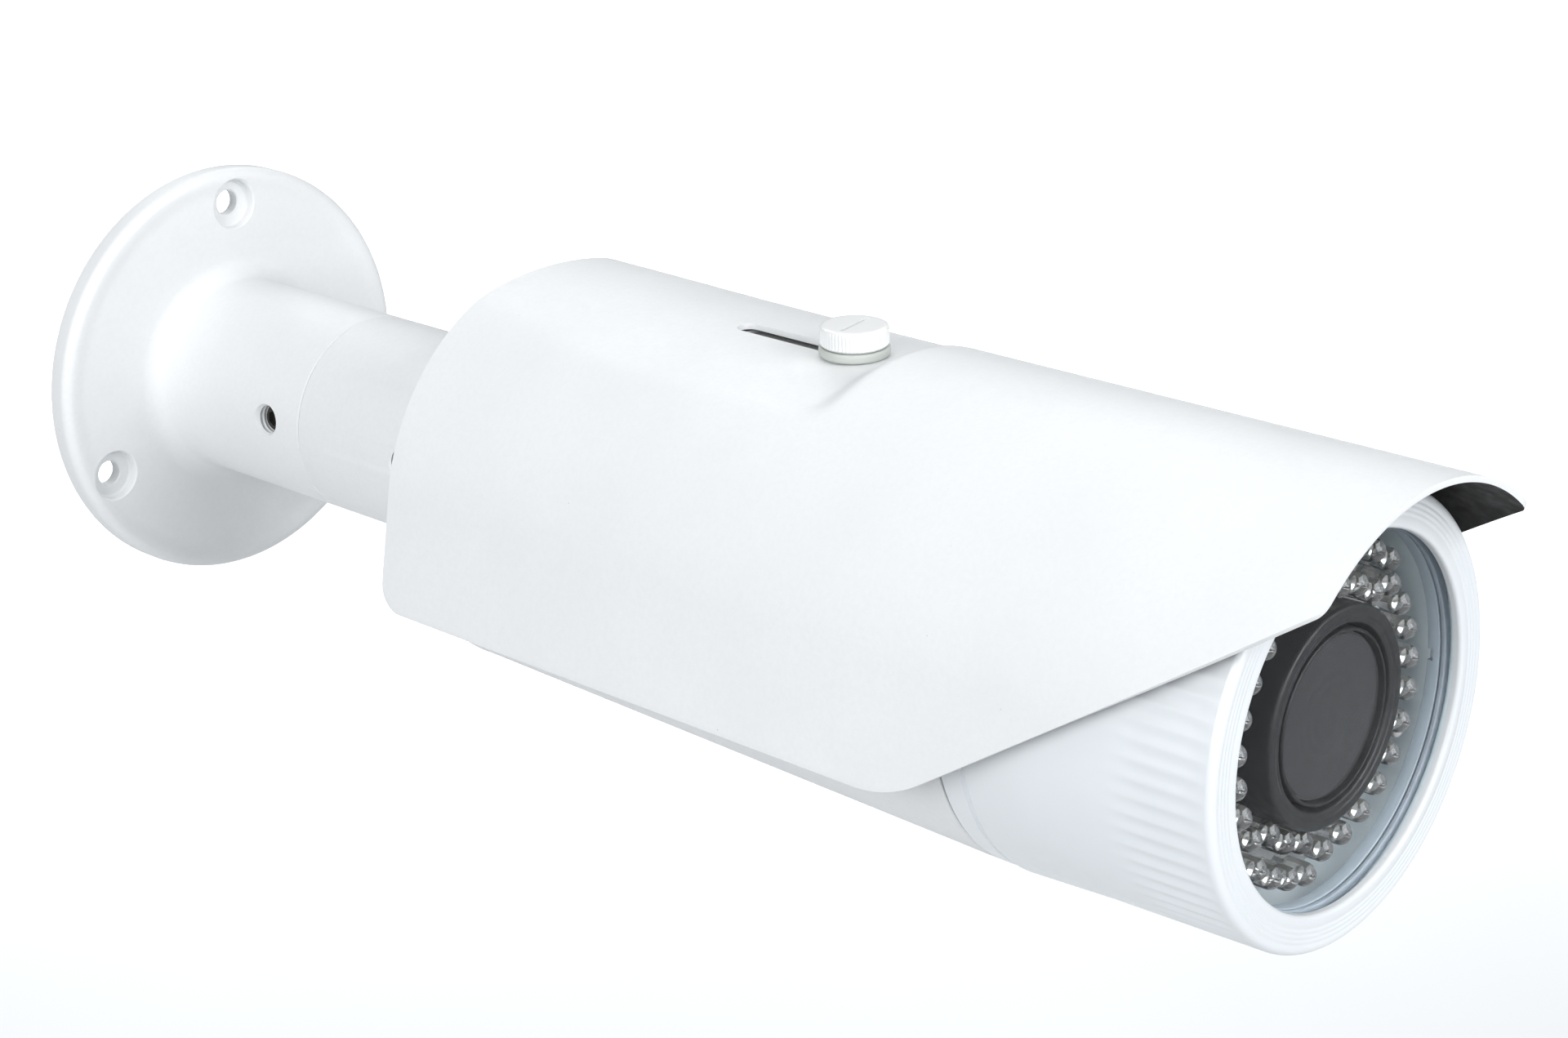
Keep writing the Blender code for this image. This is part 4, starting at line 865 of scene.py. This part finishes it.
def led_array():
    """Clear 5 mm diodes: a domed resin body with a flange, and in it a cup and a post on their leads."""
    base = LED_BOARD_OUT + GAP
    tip = reach("led_array")[1]
    body, flange = 2.45, 2.5
    shoulder = tip - body
    resin_outline = [(0, base + 0.5), (flange, base + 0.5), (flange, base + 1.3), (body, base + 1.45)]
    resin_outline += arc((0, shoulder), body, 0, 80, 8)
    resin_outline += [(0, tip)]
    cup_low, cup_top = shoulder - 1.6, shoulder - 0.5
    cup_outline = [(0, base + 0.2), (0.35, base + 0.2), (0.35, cup_low), (0.95, cup_low + 0.2)]
    cup_outline += [(1.15, cup_top), (0.95, cup_top), (0.35, cup_low + 0.6), (0, cup_low + 0.6)]
    resin, leads = [], []
    for radius, angle in led_places():
        place = around(radius, angle, 0)
        resin.append(lathe("resin", resin_outline, 24, place, 0))
        leads.append(lathe("cup", cup_outline, 12, moved(place, -0.35, 0, 0), 0))
        post_low, post_high = (0.95, -0.3, base + 0.2), (1.5, 0.3, cup_top + 0.2)
        leads.append(block("post", post_low, post_high, place, 0))
    domes = merge("diode_resin", resin)
    domes.visible_shadow = False
    mount(domes, "resin", "head", "led_array")
    frames = merge("diode_leads", leads)
    mount(frames, "lead_frame", "head")
    carrier = ring("diode_carrier", 23.3, 36.2, base, base + 0.45, MEDIUM, ON_AXIS, 0.1)
    mount(carrier, "led_board", "head")


def led_board():
    low, high = reach("led_board")
    board = ring("led_board_disc", 18.3, 36.5, low, high, MEDIUM, ON_AXIS, 0.1)
    solder = []
    for radius, angle in led_places():
        place = around(radius, angle, 0)
        for side in (-1.27, 1.27):
            outline = [(0, low - 1.1), (0.3, low - 1.0), (0.45, low - 0.5), (0.9, low + 0.02)]
            outline += [(0, low + 0.02)]
            solder.append(lathe("joint", outline, 10, moved(place, side, 0, 0), 0))
    mount(merge("led_solder_joints", solder), "lead_frame", "head")
    mount(board, "led_board", "head", "led_board")


def light_sensor():
    low, high = reach("light_sensor")
    place = around(33.9, -115.0, 0)
    radius, dome = 2.0, 0.8
    outline = [(0, low), (radius, low), (radius, high - dome)]
    outline += [(across, high - dome + up * dome / radius) for across, up in arc((0, 0), radius, 15, 75, 4)]
    outline += [(0, high)]
    cap = lathe("light_sensor_cap", outline, 32, place, 0)
    mount(cap, "sensor", "head", "light_sensor")


def standoffs():
    for number, angle in enumerate((70.0, -65.0, -165.0)):
        node = f"led_standoff_{number + 1}"
        low, high = reach(node)
        post = prism(node + "_body", polygon(2.15, 6), low, high, around(33.5, angle, 0), 0.15)
        mount(post, "steel", "head", node)


def lens_shroud():
    """The black collar round the lens, its mouth widening towards the window."""
    low, high = reach("lens_shroud")
    outline = [(18.3, low), (23.0, low), (23.0, low + 1.2), (22.6, low + 1.8)]
    outline += [(22.8, high - 0.8), (22.6, high - 0.2), (22.1, high), (20.6, high)]
    outline += [(20.2, high - 0.3), (19.6, high - 0.3), (19.0, high - 0.5)]
    outline += [(18.5, high - 2.2), (18.3, high - 2.6)]
    shroud = lathe("lens_shroud_collar", outline, MEDIUM, ON_AXIS, 0.25)
    mount(shroud, "black", "head", "lens_shroud")


def lens_barrel():
    low, high = reach("lens_barrel")
    bore, thread, body, seat, front = 9.0, 12.4, 15.5, 14.0, 17.9
    zoom_low, zoom_high = 298.0, 308.0
    focus_low, focus_high = 316.0, 327.0
    pitch, turns = 0.8, 8
    outline = [(bore, low), (thread, low)]
    outline += repeated([(thread - 0.3, 0), (thread, 0.5)], low + 0.5, pitch, turns)
    outline += [(thread - 0.3, low + 8), (body, low + 8), (body, zoom_low), (seat, zoom_low)]
    outline += [(seat, zoom_high), (body, zoom_high), (body, focus_low), (seat, focus_low)]
    outline += [(seat, focus_high)]
    inner = front - 0.7
    outline += [(front, focus_high), (front, high - 0.25), (front - 0.25, high), (inner + 0.1, high)]
    outline += [(inner, high - 0.2), (inner, high - 6), (bore, high - 6)]
    barrel = lathe("lens_barrel_body", outline, MEDIUM, ON_AXIS, 0.1)
    mount(barrel, "dark_alloy", "head", "lens_barrel")


def front_lens():
    """A shallow domed element over a dark face of concentric baffle rings."""
    low, high = reach("front_lens")
    edge = radius_of("front_lens")
    face_out = high - 1.3
    outline = [(0, low), (edge, low), (edge, face_out)]
    rings, widest, step_up = 9, 0.62 * edge, 0.12
    for number in range(rings):
        radius = widest * (1 - number / rings)
        level = face_out + step_up * (number % 2)
        outline += [(radius, level), (radius - 0.5 * widest / rings, level)]
    outline += [(0.0, face_out)]
    face = lathe("lens_baffle_face", outline, MEDIUM, ON_AXIS, 0.05)
    mount(face, "lens_face", "head", "front_lens")
    dome_low = face_out + 0.25
    rise = high - 0.35 - dome_low
    radius = (edge**2 + rise**2) / (2 * rise)
    steps = 18
    top = math.asin(0.98 * edge / radius)
    outline = [(0, dome_low), (edge * 0.98, dome_low)]
    for step in range(steps):
        turn = top * (1 - step / steps)
        outline.append((radius * math.sin(turn), high - radius + radius * math.cos(turn)))
    outline += [(0, high)]
    glass = lathe("front_lens_element", outline, MEDIUM, ON_AXIS, 0)
    glass.visible_shadow = False
    mount(glass, "lens_glass", "head")


def lens_rings():
    for name, angle in (("zoom", 150), ("focus", 210)):
        node = f"{name}_ring"
        low, high = reach(node)
        outer = 17.2

        def knurl(radius, height, turn, low=low, high=high, outer=outer):
            if radius < outer - 0.3 or not low + 1.2 < height < high - 1.2:
                return radius
            return radius - 0.35 * (1 if math.cos(40 * turn) > 0 else 0)

        outline = [(14.3, low), (outer - 0.3, low), (outer, low + 0.3), (outer, low + 1.1)]
        outline += [(outer, low + 1.4), (outer, high - 1.4), (outer, high - 1.1), (outer, high - 0.3)]
        outline += [(outer - 0.3, high), (14.3, high)]
        grip = lathe(node + "_body", outline, 320, ON_AXIS, 0, knurl)
        place = radial(angle, (low + high) / 2)
        carve(grip, rod("cut_lock", 1.5, 12, 20, 32, place))
        mount(grip, "black", name, node)
        shank, head = 1.2, 2.55
        base = outer + 1

        def grooves(radius, height, turn, head=head):
            return radius - 0.15 * abs(math.sin(9 * turn)) if radius > head - 0.1 else radius

        outline = [(0, 14.6), (shank, 14.6), (shank, base), (head - 0.2, base), (head, base + 0.2)]
        outline += [(head, base + 4.7), (head - 0.3, base + 5), (0, base + 5)]
        lock = lathe(f"{name}_lock_screw_body", outline, 72, place, 0, grooves)
        mount(lock, "steel", name, f"{name}_lock_screw")


def inner_pieces():
    """Pieces sealed inside the barrel: rounded and finished, with their parts laid out on the boards."""
    low, high = reach("lens_mount")
    mount_ring = ring("lens_mount_ring", 12.7, 18.0, low, high, MEDIUM, ON_AXIS, 0.5)
    mount(mount_ring, "alloy", "head", "lens_mount")
    low, high = reach("zoom_group")
    outline = [(0, low + 0.8), (3, low + 0.6), (6.5, low), (8.7, low), (8.7, high)]
    outline += [(6.5, high), (3, high - 0.6), (0, high - 0.8)]
    cell = lathe("zoom_group_cell", outline, COARSE, ON_AXIS, 0.3)
    mount(cell, "lens_glass", "zoom_cell", "zoom_group")
    board_parts("main_board", "head", seed=3)
    board_parts("power_board", "head", seed=5)
    board_parts("sensor_board", "head", seed=7)
    heat_spreader()
    for node, finish in (("chassis", "alloy"), ("image_sensor", "chip"), ("filter_switch", "black")):
        wear(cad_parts[node], finish)
        soften_node(node)
    wear(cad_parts["ir_cut_filter"], "filter")
    wear(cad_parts["shield_pad"], "rubber")


def soften_node(node):
    """A carried-over CAD node keeps its mesh and only shades with smooth rounds."""
    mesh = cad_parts[node].data
    mesh.shade_smooth()
    mesh.set_sharp_from_angle(angle=math.radians(35))


def board_parts(node, body, seed):
    """Small chips on one face of a board, in rows that a seeded walk fills."""
    wear(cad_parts[node], "board")
    low, high = box_of(node)
    size = high - low
    thin = min(range(3), key=lambda axis: size[axis])
    flat = [axis for axis in range(3) if axis != thin]
    parts = []
    state = seed
    for row in range(5):
        for column in range(4):
            state = (state * 1103515245 + 12345) % 2**31
            share = state / 2**31
            if share < 0.3:
                continue
            half = Vector((0, 0, 0))
            half[flat[0]] = size[flat[0]] * (0.04 + 0.04 * share)
            half[flat[1]] = size[flat[1]] * (0.03 + 0.03 * (1 - share))
            half[thin] = 0.14
            centre = (low + high) / 2
            centre[flat[0]] = low[flat[0]] + size[flat[0]] * (0.14 + 0.24 * column)
            centre[flat[1]] = low[flat[1]] + size[flat[1]] * (0.12 + 0.19 * row)
            face = low[thin] if thin == 2 else high[thin]
            centre[thin] = face - 0.14 if thin == 2 else face + 0.14
            parts.append(block("part", centre - half, centre + half, UPRIGHT, 0.03))
    mount(merge(node + "_parts", parts), "chip", body)


def heat_spreader():
    """A finned block over the processor."""
    low, high = box_of("heat_spreader")
    base, thickness, count = 2, 1.1, 8
    pieces = [block("base", low, (high.x, high.y, low.z + base), UPRIGHT, 0.15)]
    for number in range(count):
        left = low.x + (high.x - low.x - thickness) * number / (count - 1)
        near, far = (left, low.y, low.z + 0.9 * base), (left + thickness, high.y, high.z)
        pieces.append(block("fin", near, far, UPRIGHT, 0.15))
    mount(merge("heat_spreader_fins", pieces), "alloy", "head", "heat_spreader")


# ---------------------------------------------------------------- sunshield

def crown_radius(angle, top):
    """Distance from the axis to the pressed crown, whose own arc is flatter than the shield's."""
    arc_radius = 85
    centre = top - arc_radius
    return centre * math.cos(angle) + math.sqrt(arc_radius**2 - (centre * math.sin(angle)) ** 2)


def shield_radius(angle, out):
    """The sheet's outer radius at an angle from the top: a circle, pressed lower over the crown."""
    level, front, ramp = 187, 235.5, 3.4
    rise = max(0.0, (level - out) / (level - SHIELD_REAR))
    top = CROWN_HEIGHT + 2 * rise**1.3
    lowered = SHIELD_RADIUS - crown_radius(angle, top)
    if lowered <= -1.2:
        return SHIELD_RADIUS
    softness = 0.35
    pressed = 0.5 * (lowered + math.sqrt(lowered**2 + softness**2)) if abs(angle) < math.radians(60) else 0.0
    corner = 7
    across = abs(SHIELD_RADIUS * angle) - (29.5 - corner)
    along = out - (front - corner)
    past = math.hypot(max(across, 0), max(along, 0)) - corner
    return SHIELD_RADIUS - pressed * (1 - smooth_step(-ramp, ramp, past))


def shield_lower_edge(out):
    """Height of the sheet's lower edge: rounded rear corner, straight run, then the slanted front cut."""
    base, tip_height, slope = -17.3, 38.2, 0.655
    front_round = 30.0
    if out < SHIELD_REAR + REAR_ROUND:
        return base + REAR_ROUND - math.sqrt(max(0.0, REAR_ROUND**2 - (SHIELD_REAR + REAR_ROUND - out) ** 2))
    angle = math.atan(slope)
    corner = SHIELD_TIP - (tip_height - base) / slope
    start = corner - front_round * math.tan(angle / 2)
    end = start + front_round * math.sin(angle)
    if out <= start:
        return base
    if out <= end:
        return base + front_round - math.sqrt(front_round**2 - (out - start) ** 2)
    tangent = TIP_ROUND * math.tan((math.pi / 2 - angle) / 2)
    centre_out, centre_up = SHIELD_TIP - TIP_ROUND, tip_height + tangent
    turn = centre_out + TIP_ROUND * math.sin(angle)
    if out <= turn:
        return tip_height - slope * (SHIELD_TIP - out)
    return centre_up - math.sqrt(max(0.0, TIP_ROUND**2 - (out - centre_out) ** 2))


def shield_point(share, out):
    """The outer surface at a share of the way over the top, from -1 at the left lower edge to 1."""
    wall_top = SHIELD_RADIUS * math.cos(SHIELD_WALL_ANGLE)
    edge = shield_lower_edge(out)
    if edge < wall_top:
        wall = (wall_top - edge) / math.sin(SHIELD_WALL_ANGLE)
        half_length = SHIELD_RADIUS * SHIELD_WALL_ANGLE + wall
    else:
        half_length = SHIELD_RADIUS * math.acos(edge / SHIELD_RADIUS)
    along = abs(share) * half_length
    side = 1 if share >= 0 else -1
    if along <= SHIELD_RADIUS * SHIELD_WALL_ANGLE:
        angle = along / SHIELD_RADIUS
        radius = shield_radius(angle, out)
        return Vector((side * radius * math.sin(angle), radius * math.cos(angle), out))
    run = along - SHIELD_RADIUS * SHIELD_WALL_ANGLE
    x = SHIELD_RADIUS * math.sin(SHIELD_WALL_ANGLE) + run * math.cos(SHIELD_WALL_ANGLE)
    return Vector((side * x, wall_top - run * math.sin(SHIELD_WALL_ANGLE), out))


def shield_stations():
    """Distances from the wall of the sheet's cross-sections, closer at its corners and at the crown's end."""
    stations = [SHIELD_REAR + REAR_ROUND * (1 - math.cos(math.radians(a))) for a in range(0, 91, 9)]
    end = SHIELD_TIP - TIP_ROUND
    for step, count in ((2.5, 38), (1.0, 20), (None, 56)):
        last = stations[-1]
        step = step or (end - last) / count
        stations += [last + step * number for number in range(1, count + 1)]
    return stations + [end + TIP_ROUND * math.sin(math.radians(a)) for a in range(8, 91, 8)] + [SHIELD_TIP]


def sunshield():
    columns = 150
    shape = bmesh.new()
    rows = []
    for out in shield_stations():
        shares = [2 * column / columns - 1 for column in range(columns + 1)]
        rows.append([shape.verts.new(shield_point(share, out) * MM) for share in shares])
    for near, far in zip(rows, rows[1:]):
        for column in range(columns):
            shape.faces.new((near[column], near[column + 1], far[column + 1], far[column]))
    shield = add_piece("sunshield_sheet", shape, ON_AXIS, 60)
    outward = shield.data.polygons[len(shield.data.polygons) // 2]
    if outward.normal.z < 0:
        shield.data.flip_normals()
    wear(shield, "coat", "under")
    sheet = shield.modifiers.new("sheet", "SOLIDIFY")
    sheet.thickness = SHIELD_SHEET * MM
    sheet.offset = -1
    sheet.use_even_offset = True
    sheet.material_offset = 1
    sheet.material_offset_rim = 0
    bpy.context.view_layer.update()
    apply_modifiers(shield)
    bevel_edges(shield, 0.32, 60, 3)
    half = SLOT_WIDTH / 2
    front, rear = THUMBSCREW_OUT + 2 * GAP, THUMBSCREW_OUT - SHIELD_TRAVEL - 2 * GAP
    outline = [(x, -out) for x, out in arc((0, front), half, 0, 180, 24) + arc((0, rear), half, 180, 360, 24)]
    carve(shield, prism("cut_slot", outline, LAND_HEIGHT, 60, UPRIGHT))
    mount(shield, "coat", "shield", "sunshield")


def thumbscrew():
    low, high = box_of("thumbscrew")
    radius, shank = 7.4, 2.4
    top, base = high.z, high.z - 4.4
    outline = [(0, low.z), (shank - 0.4, low.z)]
    pitch = 0.7
    turns = int((44.5 - low.z) / pitch)
    outline += repeated([(shank - 0.25, 0), (shank, 0.5)], low.z + 0.4, pitch, turns)
    outline += [(shank - 0.1, base), (radius - 0.5, base), (radius, base + 0.45)]
    outline += [(radius, base + 1.5), (radius, top - 1.5), (radius, top - 0.55)]
    outline += [(radius - 0.2, top - 0.2), (radius - 0.6, top - 0.02), (radius - 1.2, top), (0, top)]
    teeth = 56

    def knurl(at, height, angle):
        if at < radius - 0.3 or height < base:
            return at
        fade = smooth_step(base + 0.1, base + 0.6, height) * (1 - smooth_step(top - 0.7, top - 0.25, height))
        return at - 0.2 * fade * (0.5 + 0.5 * math.cos(teeth * angle))

    screw = lathe("thumbscrew_knob", outline, 6 * teeth, upright(THUMBSCREW_OUT), 0, knurl, 50)
    slot_frame = upright(THUMBSCREW_OUT) @ Matrix.Rotation(math.radians(9), 4, "Z")
    wide, deep = 0.55, 0.75
    slot = block("cut_slot", (-5.2, -wide, top - deep), (5.2, wide, top + 1), slot_frame, 0.2)
    carve(screw, slot)
    mount(screw, "knob", "thumbscrew", "thumbscrew")


def shield_washer():
    low, high = box_of("shield_washer")
    outer, inner = 7.7, SLOT_WIDTH / 2
    bottom, top = low.z - 0.24, high.z
    outline = [(inner, bottom), (outer - 0.5, bottom), (outer - 0.1, bottom + 0.4), (outer, bottom + 0.9)]
    outline += [(outer - 0.05, top - 0.3), (outer - 0.35, top), (inner, top)]
    washer = lathe("shield_washer_ring", outline, MEDIUM, upright(THUMBSCREW_OUT), 0.12)
    mount(washer, "washer", "screw_washer", "shield_washer")


# ---------------------------------------------------------------- studio

AZIMUTH = math.radians(-46.77)
ELEVATION = math.radians(20.87)
ROLL = math.radians(-1.294)
AIM = Vector((11.1, -190.9, 0)) * MM
DISTANCE = 708.2 * MM
LENS_LENGTH = 72.04
FLOOR = -0.6


def add_camera():
    level = math.cos(ELEVATION)
    back = Vector((math.sin(AZIMUTH) * level, -math.cos(AZIMUTH) * level, math.sin(ELEVATION)))
    right = Vector((math.cos(AZIMUTH), math.sin(AZIMUTH), 0))
    up = back.cross(right)
    turned_right = right * math.cos(ROLL) + up * math.sin(ROLL)
    turned_up = up * math.cos(ROLL) - right * math.sin(ROLL)
    camera = bpy.data.objects.new("camera", bpy.data.cameras.new("camera"))
    camera.data.lens = LENS_LENGTH
    camera.data.sensor_width = 36
    camera.data.clip_start = 0.02
    turn = Matrix((turned_right, turned_up, back)).transposed().to_4x4()
    camera.matrix_world = Matrix.Translation(AIM + back * DISTANCE) @ turn
    bpy.context.scene.collection.objects.link(camera)
    bpy.context.scene.camera = camera


def add_light(name, place, aim, size, watts, colour=(1, 1, 1), spread=180):
    light = bpy.data.lights.new(name, "AREA")
    light.shape = "RECTANGLE"
    light.size, light.size_y = size
    light.spread = math.radians(spread)
    light.energy = watts
    light.color = colour
    holder = bpy.data.objects.new(name, light)
    direction = Vector(aim) - Vector(place)
    holder.location = place
    holder.rotation_euler = direction.to_track_quat("-Z", "Y").to_euler()
    bpy.context.scene.collection.objects.link(holder)


def add_studio():
    shape = bmesh.new()
    bmesh.ops.create_grid(shape, x_segments=8, y_segments=8, size=6.0)
    floor = add_piece("floor", shape, Matrix.Translation((0, 0, FLOOR)))
    wear(floor, "floor")
    world = bpy.data.worlds.new("studio")
    world.use_nodes = True
    world.node_tree.nodes["Background"].inputs["Color"].default_value = (0.90, 0.96, 1.0, 1.0)
    world.node_tree.nodes["Background"].inputs["Strength"].default_value = 0.27
    bpy.context.scene.world = world
    middle = (0, -0.2, 0)
    add_light("top softbox", (-0.1, -0.35, 1.0), middle, (1.2, 1.0), 3.4, (1.0, 0.995, 0.985))
    add_light("left softbox", (-1.3, -0.45, 0.5), middle, (1.0, 0.9), 14.2)
    add_light("front softbox", (0.1, -1.25, 0.42), middle, (0.9, 0.7), 10.2)
    add_light("background softbox", (2.3, 2.1, 1.5), (2.2, 2.0, FLOOR), (2.8, 2.8), 150.0, spread=124)
    bpy.context.scene.view_settings.view_transform = "Standard"
    bpy.context.scene.view_settings.look = "None"


def build():
    add_camera()
    add_studio()
    wall_flange()
    grub_screw("base_grub_screw", "base", 19.75, 22.3, radial(90, GRUB_OUT, ON_BRACKET))
    swivel_arm()
    for name, angle in (("tilt_screw_left", 90), ("tilt_screw_right", -90)):
        grub_screw(name, "arm", 7.2, 22.27, radial(angle, TILT_OUT, ON_BRACKET))
    tilt_knuckle()
    knuckle_nut()
    rear_cap()
    for number in range(CAP_SCREWS):
        rear_cap_screw(number)
    housing()
    chassis_fasteners()
    o_rings()
    cable_grommet()
    front_cover()
    window()
    led_array()
    led_board()
    light_sensor()
    standoffs()
    lens_shroud()
    lens_barrel()
    front_lens()
    lens_rings()
    inner_pieces()
    sunshield()
    thumbscrew()
    shield_washer()


build()
